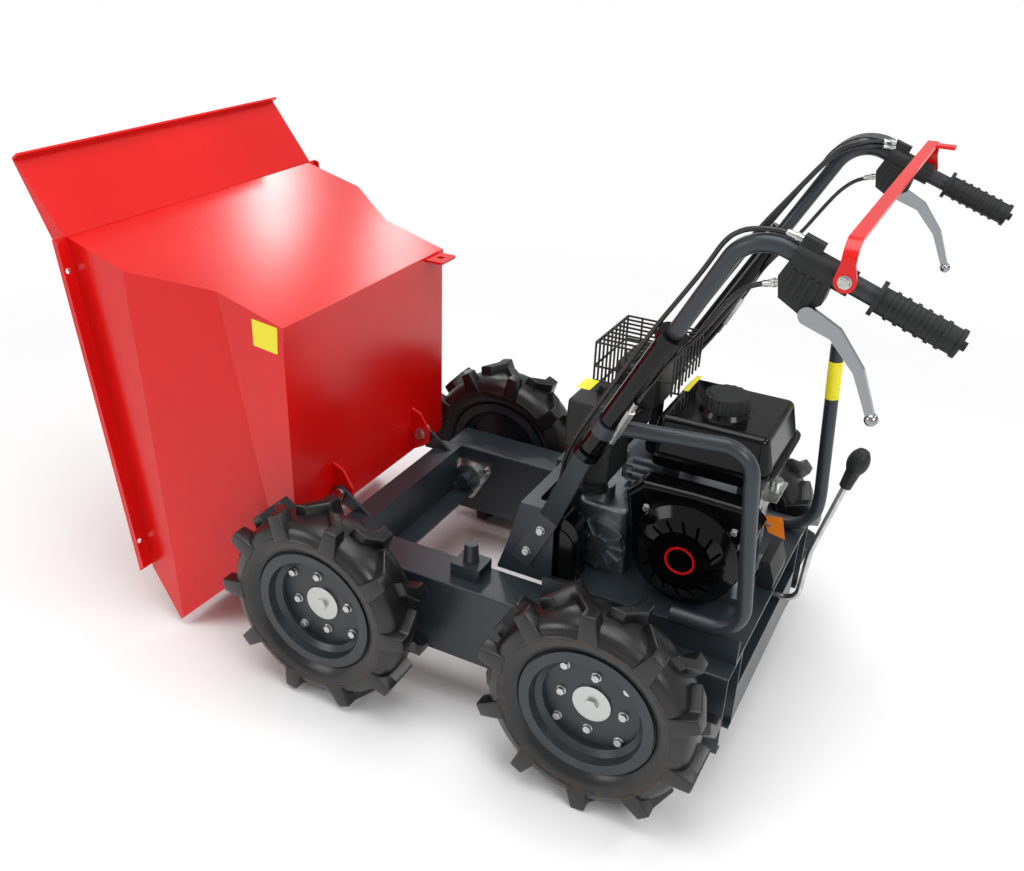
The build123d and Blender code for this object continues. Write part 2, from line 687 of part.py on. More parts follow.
RIM_LINE = Vector(SKIP_RIM_FRONT_X - SKIP_RIM_REAR_X, SKIP_RIM_FRONT_Z - SKIP_RIM_REAR_Z)
LIP_LINE = Vector(LIP_OUT_X - SKIP_RIM_REAR_X, LIP_OUT_Z - SKIP_RIM_REAR_Z)
LIP_NORMAL = Vector(-LIP_LINE.Y, LIP_LINE.X).normalized()
LIP_ROOT = Vector(SKIP_RIM_REAR_X, SKIP_RIM_REAR_Z) - LIP_LINE.normalized() * SKIP_T
with BuildPart() as skip_shell:
    add(skip_body(0, 0))
    with BuildSketch(side_plane(SKIP_SIDE_HALF_W + OVERRUN)):
        with BuildLine():
            Polyline(
                (FLOOR_X, SKIP_REAR_Z),
                (SKIP_RIM_REAR_X, SKIP_RIM_REAR_Z),
                (SKIP_RIM_FRONT_X, SKIP_RIM_FRONT_Z),
                (SKIP_NOSE_X, SKIP_NOSE_Z),
                (FLOOR_X, SKIP_FRONT_Z),
                close=True,
            )
        make_face()
    extrude(amount=2 * (SKIP_SIDE_HALF_W + OVERRUN), mode=Mode.INTERSECT)
    add(skip_hollow.part, mode=Mode.SUBTRACT)
    # outward rim flanges with a returned edge, one along each side
    for sign in (1, -1):
        flange_y = max(sign * (SKIP_RIM_HALF_W - SKIP_T), sign * (SKIP_RIM_HALF_W + RIM_FLANGE_W))
        with BuildSketch(side_plane(flange_y)):
            with BuildLine():
                Polyline(
                    (SKIP_RIM_REAR_X, SKIP_RIM_REAR_Z),
                    (SKIP_RIM_FRONT_X, SKIP_RIM_FRONT_Z),
                    (SKIP_RIM_FRONT_X - SKIP_T, SKIP_RIM_FRONT_Z),
                    (SKIP_RIM_REAR_X - SKIP_T, SKIP_RIM_REAR_Z),
                    close=True,
                )
            make_face()
        extrude(amount=RIM_FLANGE_W + SKIP_T)
        return_y = max(sign * (SKIP_RIM_HALF_W + RIM_FLANGE_W - SKIP_T), sign * (SKIP_RIM_HALF_W + RIM_FLANGE_W))
        with BuildSketch(side_plane(return_y)):
            with BuildLine():
                Polyline(
                    (SKIP_RIM_REAR_X, SKIP_RIM_REAR_Z),
                    (SKIP_RIM_FRONT_X, SKIP_RIM_FRONT_Z),
                    (SKIP_RIM_FRONT_X - RIM_RETURN, SKIP_RIM_FRONT_Z + RIM_RETURN),
                    (SKIP_RIM_REAR_X - RIM_RETURN, SKIP_RIM_REAR_Z - RIM_RETURN * REAR_SLOPE),
                    close=True,
                )
            make_face()
        extrude(amount=SKIP_T)
    # flared lip behind the rear wall, with its returned edge
    with BuildSketch(side_plane(LIP_HALF_W)):
        with BuildLine():
            Polyline(
                LIP_ROOT,
                (LIP_OUT_X, LIP_OUT_Z),
                (LIP_OUT_X + LIP_NORMAL.X * SKIP_T, LIP_OUT_Z + LIP_NORMAL.Y * SKIP_T),
                LIP_ROOT + LIP_NORMAL * SKIP_T,
                close=True,
            )
        make_face()
        with BuildLine():
            Polyline(
                (LIP_OUT_X, LIP_OUT_Z),
                (LIP_OUT_X + LIP_NORMAL.X * LIP_RETURN, LIP_OUT_Z + LIP_NORMAL.Y * LIP_RETURN),
                (LIP_OUT_X + LIP_NORMAL.X * LIP_RETURN - SKIP_T, LIP_OUT_Z + LIP_NORMAL.Y * LIP_RETURN - SKIP_T),
                (LIP_OUT_X - SKIP_T, LIP_OUT_Z - SKIP_T),
                close=True,
            )
        make_face()
    extrude(amount=2 * LIP_HALF_W)
    # gusset cheeks closing the lip's ends down to the rim flanges
    for sign in (1, -1):
        cheek_y = max(sign * (LIP_HALF_W - SKIP_T), sign * LIP_HALF_W)
        with BuildSketch(side_plane(cheek_y)):
            with BuildLine():
                Polyline(
                    (SKIP_RIM_REAR_X - SKIP_T, SKIP_RIM_REAR_Z),
                    (LIP_OUT_X, LIP_OUT_Z),
                    (SKIP_RIM_REAR_X + RIM_LINE.X * 0.13, SKIP_RIM_REAR_Z + RIM_LINE.Y * 0.13),
                    close=True,
                )
            make_face()
        extrude(amount=SKIP_T)
    # strap along the floor's rear edge
    with BuildSketch(Plane.YZ.offset(FLOOR_X)):
        with Locations((0, SKIP_REAR_Z - FLOOR_STRIP_H / 2)):
            Rectangle(2 * SKIP_FLOOR_HALF_W, FLOOR_STRIP_H)
    extrude(amount=-SKIP_T)
    # bolt holes through the rim flanges
    flange_face = Plane(
        origin=(SKIP_RIM_REAR_X, 0, SKIP_RIM_REAR_Z),
        x_dir=(RIM_LINE.X, 0, RIM_LINE.Y),
        z_dir=(-RIM_LINE.Y, 0, RIM_LINE.X),
    )
    with BuildSketch(flange_face.offset(OVERRUN / 2)):
        for hole_at in (FLANGE_HOLE_INSET, FLANGE_HOLE_INSET + FLANGE_HOLE_PITCH):
            for sign in (1, -1):
                with Locations((hole_at, sign * (SKIP_RIM_HALF_W + RIM_FLANGE_W / 2))):
                    Circle(FLANGE_HOLE_R)
    extrude(amount=-OVERRUN, mode=Mode.SUBTRACT)
write(skip_shell, "skip_shell")

with BuildPart() as skip_ears:
    for sign in (1, -1):
        with BuildSketch(side_plane(sign * EAR_Y + EAR_T / 2)):
            with BuildLine():
                Polyline(
                    (FLOOR_X, HINGE_Z + EAR_H * 0.62),
                    (FLOOR_X - EAR_R, HINGE_Z + EAR_H * 0.52),
                    (HINGE_X - EAR_R, HINGE_Z + EAR_R * 0.5),
                    (HINGE_X - EAR_R, HINGE_Z - EAR_R * 0.8),
                    (HINGE_X - EAR_R * 0.4, HINGE_Z - EAR_R * 1.3),
                    (FLOOR_X, HINGE_Z - EAR_H * 0.5),
                    close=True,
                )
            make_face()
            with Locations((HINGE_X, HINGE_Z)):
                Circle(PIN_R + FIT, mode=Mode.SUBTRACT)
        extrude(amount=EAR_T)
write(skip_ears, "skip_ears")

with BuildPart() as latch_plate:
    with BuildSketch(Plane.XY.offset(SKIP_REAR_Z - SKIP_T - LATCH_T)):
        with Locations((FLOOR_X - SKIP_T, LATCH_Y)):
            Rectangle(LATCH_L, LATCH_W, align=(Align.MAX, Align.CENTER))
        with Locations((FLOOR_X - SKIP_T - LATCH_L / 2, LATCH_Y)):
            Rectangle(LATCH_HOLE, LATCH_HOLE, mode=Mode.SUBTRACT)
    extrude(amount=LATCH_T)
    outer_corners = latch_plate.edges().filter_by(Axis.Z).group_by(Axis.X)[0]
    fillet(outer_corners, radius=LATCH_T)
write(latch_plate, "latch_plate")

# ---------------------------------------------------------------- hinge pins
WASHER_Y = EAR_Y - EAR_T / 2 - RUNNING_GAP
PIN_HEAD_Y = PLATE_IN_Y + HINGE_PLATE_T
with BuildPart() as hinge_pins:
    for sign in (1, -1):
        pin_plane = Plane(origin=(HINGE_X, 0, HINGE_Z), x_dir=(1, 0, 0), z_dir=(0, sign, 0))
        with BuildSketch(pin_plane.offset(WASHER_Y)):
            Circle(PIN_R)
        extrude(amount=PIN_HEAD_Y - WASHER_Y)
        with BuildSketch(pin_plane.offset(PIN_HEAD_Y)):
            Circle(PIN_HEAD_R)
        extrude(amount=PIN_HEAD_T)
        with BuildSketch(pin_plane.offset(WASHER_Y)):
            Circle(PIN_HEAD_R)
        extrude(amount=-PIN_WASHER_T)
        with BuildSketch(pin_plane.offset(WASHER_Y - PIN_WASHER_T)):
            RegularPolygon(PIN_NUT_R, 6)
        extrude(amount=-PIN_HEAD_T)
write(hinge_pins, "hinge_pins")

# ---------------------------------------------------------------- bump stops
with BuildPart() as bump_stops:
    for sign in (1, -1):
        with BuildSketch(Plane.YZ.offset(BUMP_X - BUMP_L / 2)):
            with Locations((sign * BUMP_Y, CASE_TOP)):
                Rectangle(BUMP_W, BUMP_H, align=(Align.CENTER, Align.MIN))
                Rectangle(
                    BUMP_W - 2 * SHEET,
                    BUMP_H - SHEET,
                    align=(Align.CENTER, Align.MIN),
                    mode=Mode.SUBTRACT,
                )
        extrude(amount=BUMP_L)
        with BuildSketch(Plane.XY.offset(CASE_TOP + BUMP_H)):
            with Locations((BUMP_X, sign * BUMP_Y)):
                Circle(BUMP_RUBBER_R)
        extrude(amount=BUMP_RUBBER_H, taper=4)
write(bump_stops, "bump_stops")

# ---------------------------------------------------------------- console
with BuildPart() as gearbox_console:
    for inset, cut in ((0, Mode.ADD), (SHEET, Mode.SUBTRACT)):
        with BuildSketch(side_plane(CONSOLE_HALF_W - inset)):
            with BuildLine():
                Polyline(
                    (CONSOLE_FOOT_X - inset, BED_TOP),
                    (CONSOLE_KNEE_X - inset, CASE_TOP + CONSOLE_KNEE_H),
                    (CONSOLE_TOP_X - inset, CASE_TOP + CONSOLE_H - inset),
                    (CONSOLE_REAR_X - inset, CASE_TOP + CONSOLE_H - inset),
                    (CONSOLE_REAR_X - inset, BED_TOP),
                    close=True,
                )
            make_face()
        extrude(amount=2 * (CONSOLE_HALF_W - inset), mode=cut)
    with BuildSketch(Plane.XY.offset(CASE_TOP + CONSOLE_H)):
        with Locations(((CONSOLE_TOP_X + CONSOLE_REAR_X) / 2, 0)):
            with GridLocations(0, CONSOLE_SLOT_PITCH, 1, 3):
                SlotOverall(CONSOLE_SLOT_L, CONSOLE_SLOT_W, rotation=90)
    extrude(amount=-2 * SHEET, mode=Mode.SUBTRACT)
write(gearbox_console, "gearbox_console")

# ---------------------------------------------------------------- gearbox and pulley guard
GEARBOX_TOP = BED_TOP + GEARBOX_H
with BuildPart() as gearbox:
    with BuildSketch(Plane.XY.offset(BED_TOP)):
        with Locations((GEARBOX_X, GEARBOX_Y)):
            RectangleRounded(GEARBOX_L, GEARBOX_W, GEARBOX_CORNER_R)
    extrude(amount=GEARBOX_H)
    fillet(gearbox.faces().sort_by(Axis.Z)[-1].edges(), radius=GEARBOX_CORNER_R / 2)
    cover_plane = Plane(
        origin=(GEARBOX_X, GEARBOX_Y + GEARBOX_W / 2, COVER_Z), x_dir=(-1, 0, 0), z_dir=(0, 1, 0)
    )
    for radius, amount in ((COVER_R, COVER_T / 2), (COVER_R - COVER_T / 2, COVER_T), (COVER_HUB_R, COVER_T * 1.5)):
        with BuildSketch(cover_plane):
            Circle(radius)
            with Locations((0, BED_TOP - COVER_Z)):
                Rectangle(4 * COVER_R, COVER_R, align=(Align.CENTER, Align.MAX), mode=Mode.SUBTRACT)
        extrude(amount=amount)
    with BuildSketch(cover_plane):
        with PolarLocations((COVER_R + COVER_HUB_R - COVER_RIB_W) / 2, COVER_RIBS):
            Rectangle(COVER_R - COVER_HUB_R, COVER_RIB_W)
        with Locations((0, BED_TOP - COVER_Z)):
            Rectangle(4 * COVER_R, COVER_R, align=(Align.CENTER, Align.MAX), mode=Mode.SUBTRACT)
    extrude(amount=COVER_T + COVER_RIB_W)
    with BuildSketch(Plane.XY.offset(GEARBOX_TOP)):
        with Locations((BOOT_X, BOOT_Y - NECK_R)):
            Circle(NECK_R)
    extrude(amount=BOOT_Z - GEARBOX_TOP)
write(gearbox, "gearbox")

with BuildPart() as pulley_guard:
    with BuildSketch(side_plane(PULLEY_GUARD_Y + PULLEY_GUARD_T)):
        with Locations((PULLEY_GUARD_REAR_X, BED_TOP)):
            Rectangle(PULLEY_GUARD_L, PULLEY_GUARD_H, align=(Align.MIN, Align.MIN))
    extrude(amount=PULLEY_GUARD_T)
    fillet(pulley_guard.edges().filter_by(Axis.Y).group_by(Axis.Z)[-1], radius=PULLEY_GUARD_R)
    with BuildSketch(side_plane(PULLEY_GUARD_Y + PULLEY_GUARD_T)):
        with Locations((PULLEY_GUARD_REAR_X + PULLEY_GUARD_L / 2, BED_TOP + PULLEY_GUARD_H / 2)):
            Circle(PULLEY_GUARD_L / 2 - SHEET)
    extrude(amount=-SHEET / 2)
write(pulley_guard, "pulley_guard")

with BuildPart() as intake_boot:
    with BuildSketch(Plane(origin=(BOOT_X, BOOT_Y, BOOT_Z), x_dir=(1, 0, 0), z_dir=(0, -1, 0))):
        with BuildLine():
            Polyline((0, 0), (BOOT_R, 0), (BOOT_R, BOOT_STEP))
            for fold in range(BOOT_FOLDS):
                foot = (2 * fold + 1) * BOOT_STEP
                Polyline(
                    (BOOT_R, foot),
                    (BOOT_R - BOOT_FOLD_DEPTH, foot + BOOT_STEP / 2),
                    (BOOT_R - BOOT_FOLD_DEPTH, foot + BOOT_STEP * 1.5),
                    (BOOT_R, foot + 2 * BOOT_STEP),
                )
            Polyline(
                (BOOT_R, (2 * BOOT_FOLDS + 1) * BOOT_STEP),
                (BOOT_R, AIR_BASE_Z - BOOT_Z),
                (0, AIR_BASE_Z - BOOT_Z),
                (0, 0),
            )
        make_face()
    revolve(axis=Axis((BOOT_X, BOOT_Y, 0), (0, 0, 1)))
write(intake_boot, "intake_boot")

# ---------------------------------------------------------------- engine
BLOCK_REAR_X = CRANK_X - BLOCK_L / 2 - BLOCK_OFFSET
BLOCK_FRONT_X = BLOCK_REAR_X + BLOCK_L
TANK_LOW_Z = TANK_SEAM_Z - TANK_LOW_H
TANK_MID_X = TANK_REAR_X + TANK_L / 2
TANK_MID_Y = TANK_LEFT_Y - TANK_W / 2
with BuildPart() as engine_block:
    with BuildSketch(Plane.XY.offset(BED_TOP)):
        with Locations(((BLOCK_REAR_X + BLOCK_FRONT_X) / 2, 0)):
            RectangleRounded(BLOCK_L, 2 * BLOCK_HALF_W, BLOCK_CORNER_R)
    extrude(amount=BLOCK_H)
    with BuildSketch(Plane.XY.offset(BED_TOP)):
        with Locations(((BLOCK_REAR_X + BLOCK_FRONT_X) / 2, 0)):
            Rectangle(BLOCK_L + 2 * SUMP_LEDGE, 2 * BLOCK_HALF_W)
    extrude(amount=SUMP_LEDGE)
    with BuildSketch(Plane.XY.offset(BED_TOP + BLOCK_H)):
        with Locations((TANK_MID_X, TANK_MID_Y)):
            with GridLocations(POST_PITCH_X, POST_PITCH_Y, 2, 2):
                Rectangle(POST_W, POST_W)
    extrude(amount=TANK_LOW_Z - BED_TOP - BLOCK_H)
    with BuildSketch(Plane.XY.offset(HEAD_Z)):
        with Locations((BLOCK_FRONT_X - SHEET, 0)):
            Rectangle(HEAD_L + SHEET - FIN_REACH, 2 * (HEAD_HALF_W - FIN_REACH), align=(Align.MIN, Align.CENTER))
    extrude(amount=HEAD_H)
    for level in range(FIN_COUNT):
        with BuildSketch(Plane.XY.offset(HEAD_Z + level * (HEAD_H - FIN_T) / (FIN_COUNT - 1))):
            with Locations((BLOCK_FRONT_X, 0)):
                Rectangle(HEAD_L, 2 * HEAD_HALF_W, align=(Align.MIN, Align.CENTER))
        extrude(amount=FIN_T)
    with BuildSketch(Plane.YZ.offset(BLOCK_FRONT_X + HEAD_L - FIN_REACH)):
        with Locations((VALVE_COVER_Y, HEAD_Z + HEAD_H / 2)):
            RectangleRounded(VALVE_COVER_W, VALVE_COVER_H, BLOCK_CORNER_R)
    extrude(amount=VALVE_COVER_T + FIN_REACH)
write(engine_block, "engine_block")

with BuildPart() as fan_shroud:
    with BuildSketch(side_plane(BLOCK_HALF_W + SHROUD_T)):
        with BuildLine():
            CenterArc((CRANK_X, SHROUD_LOW_Z + SHROUD_BELLY_R), SHROUD_BELLY_R, 0, 360)
            Line(
                (CRANK_X - SHROUD_W / 2, SHROUD_LOW_Z + SHROUD_H - SHROUD_STEP),
                (CRANK_X - SHROUD_W / 2 + SHROUD_STEP, SHROUD_LOW_Z + SHROUD_H),
            )
            Line(
                (CRANK_X + SHROUD_W / 2, SHROUD_LOW_Z + SHROUD_H - SHROUD_STEP),
                (CRANK_X + SHROUD_W / 2 - SHROUD_STEP, SHROUD_LOW_Z + SHROUD_H),
            )
        make_hull()
    extrude(amount=SHROUD_T)
    fillet(fan_shroud.faces().sort_by(Axis.Y)[-1].edges(), radius=SHROUD_EDGE_R)
    with BuildSketch(side_plane(BLOCK_HALF_W + SHROUD_T)):
        with Locations((CRANK_X, CRANK_Z)):
            for turn in RECOIL_LUG_TURNS:
                with PolarLocations(RECOIL_R + RECOIL_LUG_R + SEAT, 1, start_angle=turn):
                    Circle(RECOIL_LUG_R)
    extrude(amount=-RECOIL_LUG_T)
write(fan_shroud, "fan_shroud")

RECOIL_Y = BLOCK_HALF_W + SHROUD_T
with BuildPart() as recoil_cover:
    with BuildSketch(Plane(origin=(CRANK_X, RECOIL_Y, CRANK_Z), x_dir=(0, 1, 0), z_dir=(1, 0, 0))):
        with BuildLine():
            Polyline(
                (0, 0),
                (0, RECOIL_R),
                (RECOIL_RIM_T, RECOIL_R),
                (RECOIL_SHOULDER_T, RECOIL_SHOULDER_R),
                (RECOIL_T, RECOIL_FACE_R),
                (RECOIL_T, RECOIL_DISC_R),
                (RECOIL_T - RECOIL_DISC_SINK, RECOIL_DISC_R),
                (RECOIL_T - RECOIL_DISC_SINK, 0),
                close=True,
            )
        make_face()
    revolve(axis=Axis((CRANK_X, 0, CRANK_Z), (0, 1, 0)))
    slot_plane = Plane(
        origin=(CRANK_X, RECOIL_Y + RECOIL_T, CRANK_Z), x_dir=(-1, 0, 0), z_dir=(0, 1, 0)
    )
    with BuildSketch(slot_plane):
        with PolarLocations(RECOIL_SLOT_R, RECOIL_SLOTS):
            SlotOverall(RECOIL_SLOT_L, RECOIL_SLOT_W, rotation=RECOIL_SLOT_LEAN)
    extrude(amount=-RECOIL_SLOT_DEPTH, mode=Mode.SUBTRACT)
    with BuildSketch(slot_plane.offset(-RECOIL_T + RECOIL_RIM_T)):
        with Locations((RECOIL_GRIP[0], RECOIL_GRIP[1])):
            Circle(RECOIL_GRIP_R)
    extrude(amount=RECOIL_GRIP_L)
write(recoil_cover, "recoil_cover")

with BuildPart() as fuel_tank:
    seam = Plane(origin=(TANK_MID_X, TANK_MID_Y, TANK_SEAM_Z))
    with BuildSketch(seam):
        RectangleRounded(TANK_L - 2 * SEAM_W, TANK_W - 2 * SEAM_W, TANK_CORNER_R)
    extrude(amount=-TANK_LOW_H, taper=TANK_LOW_TAPER)
    with BuildSketch(seam):
        RectangleRounded(TANK_L, TANK_W, TANK_CORNER_R + SEAM_W)
    extrude(amount=SEAM_T)
    with BuildSketch(seam.offset(SEAM_T)):
        RectangleRounded(TANK_L - 2 * SEAM_W, TANK_W - 2 * SEAM_W, TANK_CORNER_R)
    extrude(amount=TANK_UP_H - SEAM_T, taper=TANK_UP_TAPER)
    fillet(fuel_tank.faces().sort_by(Axis.Z)[-1].edges(), radius=TANK_EDGE_R)
    with BuildSketch(Plane(origin=(CAP_X, CAP_Y, TANK_SEAM_Z + TANK_UP_H))):
        Circle(CAP_R + NECK_LEDGE)
    extrude(amount=NECK_H, taper=NECK_TAPER)
write(fuel_tank, "fuel_tank")

with BuildPart() as fuel_cap:
    with BuildSketch(Plane(origin=(CAP_X, CAP_Y, TANK_SEAM_Z + TANK_UP_H + NECK_H))):
        Circle(CAP_R)
        with PolarLocations(CAP_R + CAP_NOTCH_R / 2, CAP_NOTCHES):
            Circle(CAP_NOTCH_R, mode=Mode.SUBTRACT)
    extrude(amount=CAP_H, taper=CAP_TAPER)
    with BuildSketch(Plane(origin=(CAP_X, CAP_Y, TANK_SEAM_Z + TANK_UP_H + NECK_H + CAP_H))):
        Circle(CAP_R - 2 * CAP_NOTCH_R)
    extrude(amount=CAP_CROWN_H, taper=CAP_CROWN_TAPER)
write(fuel_cap, "fuel_cap")

AIR_MID_X = AIR_REAR_X + AIR_L / 2
AIR_MID_Y = AIR_RIGHT_Y + AIR_W / 2
with BuildPart() as air_cleaner:
    with BuildSketch(Plane(origin=(AIR_MID_X, AIR_MID_Y, AIR_BASE_Z))):
        RectangleRounded(AIR_L - AIR_GROOVE, AIR_W - AIR_GROOVE, AIR_CORNER_R)
    extrude(amount=AIR_BASE_H)
    with BuildSketch(Plane(origin=(AIR_MID_X, AIR_MID_Y, AIR_BASE_Z + AIR_BASE_H))):
        RectangleRounded(AIR_L, AIR_W, AIR_CORNER_R)
    extrude(amount=AIR_COVER_H, taper=AIR_TAPER)
    fillet(air_cleaner.faces().sort_by(Axis.Z)[-1].edges(), radius=AIR_EDGE_R)
    wing_plane = Plane(origin=(AIR_MID_X, AIR_MID_Y, AIR_BASE_Z + AIR_BASE_H + AIR_COVER_H))
    with BuildSketch(wing_plane):
        Circle(WING_NUT_R)
    extrude(amount=WING_NUT_H)
    for lean in (1, -1):
        with BuildSketch(Plane(origin=wing_plane.origin + Vector(0, 0, WING_NUT_H / 2), z_dir=(1, 0, 0), x_dir=(0, lean, 0))):
            with BuildLine():
                Polyline(
                    (0, -WING_NUT_H / 4),
                    (WING_L * 0.6, WING_NUT_H * 0.1),
                    (WING_L, WING_NUT_H * 0.6),
                    (WING_L * 0.8, WING_NUT_H * 1.1),
                    (0, WING_NUT_H / 2),
                    close=True,
                )
            make_face()
        extrude(amount=WING_T / 2, both=True)
write(air_cleaner, "air_cleaner")

MUFFLER_MID_X = MUFFLER_REAR_X + MUFFLER_L / 2
MUFFLER_MID_Y = MUFFLER_LEFT_Y - MUFFLER_W / 2
with BuildPart() as muffler:
    with BuildSketch(Plane(origin=(MUFFLER_MID_X, MUFFLER_MID_Y, MUFFLER_Z))):
        RectangleRounded(MUFFLER_L, MUFFLER_W, MUFFLER_CORNER_R)
    extrude(amount=MUFFLER_H)
    muffler_ends = muffler.faces().filter_by(Axis.Z)
    fillet(muffler_ends.edges(), radius=MUFFLER_EDGE_R)
    with BuildSketch(Plane(origin=(MUFFLER_MID_X, MUFFLER_MID_Y, MUFFLER_Z + MUFFLER_H))):
        with GridLocations(MUFFLER_L * 0.13, 0, 5, 1):
            Rectangle(MUFFLER_RIB_W, MUFFLER_W - 2 * MUFFLER_EDGE_R - MUFFLER_RIB_W)
    extrude(amount=MUFFLER_RIB_W)
    with BuildSketch(Plane(origin=(PIPE_X, PIPE_Y, HEAD_Z + HEAD_H))):
        Circle(PIPE_R)
    extrude(amount=MUFFLER_Z + MUFFLER_EDGE_R - HEAD_Z - HEAD_H)
write(muffler, "muffler")

# ---------------------------------------------------------------- wire cage round the muffler
CAGE_FRONT_X = CAGE_REAR_X + CAGE_L
CAGE_RIGHT_Y = CAGE_LEFT_Y - CAGE_W
CAGE_TOP_Z = CAGE_LOW_Z + CAGE_H
CAGE_SIDE_REAR_X = MUFFLER_REAR_X
HALF_WIRE = CAGE_WIRE / 2
with BuildPart() as muffler_cage:
    for level in range(CAGE_RINGS):
        ring_z = CAGE_LOW_Z + level * CAGE_H / (CAGE_RINGS - 1)
        ring_rear_x = CAGE_SIDE_REAR_X if ring_z < CAGE_REAR_LOW_Z else CAGE_REAR_X
        with BuildSketch(Plane.XY.offset(ring_z - HALF_WIRE)):
            for y in (CAGE_LEFT_Y, CAGE_RIGHT_Y):
                with Locations((ring_rear_x, y)):
                    Rectangle(CAGE_FRONT_X - ring_rear_x, CAGE_WIRE, align=(Align.MIN, Align.CENTER))
            with Locations((CAGE_FRONT_X, (CAGE_LEFT_Y + CAGE_RIGHT_Y) / 2)):
                Rectangle(CAGE_WIRE, CAGE_W + CAGE_WIRE)
            if ring_z > CAGE_REAR_LOW_Z:
                with Locations((CAGE_REAR_X, (CAGE_LEFT_Y + CAGE_RIGHT_Y) / 2)):
                    Rectangle(CAGE_WIRE, CAGE_W + CAGE_WIRE)
        extrude(amount=CAGE_WIRE)
    for bar in range(CAGE_BARS):
        bar_y = CAGE_RIGHT_Y + bar * CAGE_W / (CAGE_BARS - 1)
        with BuildSketch(side_plane(bar_y + HALF_WIRE)):
            with BuildLine():
                Polyline(
                    (CAGE_FRONT_X - HALF_WIRE, CAGE_LOW_Z),
                    (CAGE_FRONT_X - HALF_WIRE, CAGE_TOP_Z - HALF_WIRE),
                    (CAGE_REAR_X + HALF_WIRE, CAGE_TOP_Z - HALF_WIRE),
                    (CAGE_REAR_X + HALF_WIRE, CAGE_REAR_LOW_Z),
                    (CAGE_REAR_X - HALF_WIRE, CAGE_REAR_LOW_Z),
                    (CAGE_REAR_X - HALF_WIRE, CAGE_TOP_Z + HALF_WIRE),
                    (CAGE_FRONT_X + HALF_WIRE, CAGE_TOP_Z + HALF_WIRE),
                    (CAGE_FRONT_X + HALF_WIRE, CAGE_LOW_Z),
                    close=True,
                )
            make_face()
        extrude(amount=CAGE_WIRE)
    for post in range(CAGE_POSTS):
        post_x = CAGE_FRONT_X - (post + 1) * (CAGE_FRONT_X - CAGE_SIDE_REAR_X) / CAGE_POSTS
        for y in (CAGE_LEFT_Y, CAGE_RIGHT_Y):
            with BuildSketch(Plane.XY.offset(CAGE_LOW_Z)):
                with Locations((post_x, y)):
                    Rectangle(CAGE_WIRE, CAGE_WIRE)
            extrude(amount=CAGE_H)
    for y in (CAGE_LEFT_Y + HALF_WIRE, MUFFLER_LEFT_Y - MUFFLER_W):
        with BuildSketch(side_plane(y)):
            with Locations((MUFFLER_MID_X, CAGE_LOW_Z + CAGE_H / (CAGE_RINGS - 1))):
                Rectangle(CAGE_STRAP_W, CAGE_WIRE)
        extrude(amount=CAGE_LEFT_Y + HALF_WIRE - MUFFLER_LEFT_Y)
write(muffler_cage, "muffler_cage")

with BuildPart() as throttle_bracket:
    with BuildSketch(Plane.YZ.offset(BLOCK_REAR_X)):
        with Locations((THROTTLE_Y, THROTTLE_Z)):
            Rectangle(THROTTLE_W, THROTTLE_H)
            with GridLocations(THROTTLE_W * 0.6, THROTTLE_H * 0.6, 2, 2):
                Circle(THROTTLE_HOLE_R, mode=Mode.SUBTRACT)
    extrude(amount=-THROTTLE_T)
    with BuildSketch(Plane.XY.offset(THROTTLE_Z)):
        with Locations((BLOCK_REAR_X - THROTTLE_T, THROTTLE_Y)):
            Rectangle(THROTTLE_SHELF, THROTTLE_W * 0.8, align=(Align.MAX, Align.CENTER))
    extrude(amount=THROTTLE_T)
    with BuildSketch(Plane.XY.offset(THROTTLE_Z + THROTTLE_T)):
        with Locations((BLOCK_REAR_X - THROTTLE_SHELF / 2, THROTTLE_Y - THROTTLE_W * 0.2)):
            Circle(THROTTLE_DRUM_R)
    extrude(amount=THROTTLE_DRUM_R)
write(throttle_bracket, "throttle_bracket")

with BuildPart() as switch_box:
    with BuildSketch(side_plane(SWITCH_Y + SWITCH_W / 2)):
        with BuildLine():
            Polyline(
                (SWITCH_REAR_X, BED_TOP),
                (SWITCH_REAR_X + SWITCH_L, BED_TOP),
                (SWITCH_REAR_X + SWITCH_L, BED_TOP + SWITCH_H),
                (SWITCH_REAR_X + SWITCH_L * 0.4, BED_TOP + SWITCH_H),
                (SWITCH_REAR_X, BED_TOP + SWITCH_H * 0.4),
                close=True,
            )
        make_face()
    extrude(amount=SWITCH_W)
    fillet(switch_box.edges().filter_by(Axis.Y).group_by(Axis.Z)[-1], radius=SHEET)
write(switch_box, "switch_box")

# ---------------------------------------------------------------- handles
TUBE_DIR = Vector(*TUBE_CORNER) - Vector(*COLLAR_LOW)
GRIP_DIR = Vector(*GRIP_FLANGE) - Vector(*TUBE_CORNER)
BAR_DIR = Vector(BAR_BOLT_HIGH[0] - BAR_BOLT_LOW[0], 0, BAR_BOLT_HIGH[1] - BAR_BOLT_LOW[1]).normalized()
BAR_ACROSS = Vector(BAR_DIR.Z, 0, -BAR_DIR.X)
BAR_FOOT = Vector(BAR_BOLT_LOW[0], CONSOLE_HALF_W + BAR_T / 2, BAR_BOLT_LOW[1]) - BAR_DIR * BAR_END
BAR_BEND = Vector(BAR_BOLT_HIGH[0], CONSOLE_HALF_W + BAR_T / 2, BAR_BOLT_HIGH[1]) + BAR_DIR * BAR_END
with BuildPart() as handle_bar:
    for where, heading, width, thickness in (
        (BAR_FOOT, BAR_DIR, BAR_W, BAR_T),
        (BAR_BEND, BAR_DIR, BAR_W, BAR_T),
        (Vector(*COLLAR_LOW), TUBE_DIR, BAR_W - 2 * SHEET, BAR_W / 2),
    ):
        with BuildSketch(Plane(origin=where, x_dir=BAR_ACROSS, z_dir=heading)):
            Rectangle(width, thickness)
    loft(ruled=True)
write_pair(handle_bar, "handle_bar")

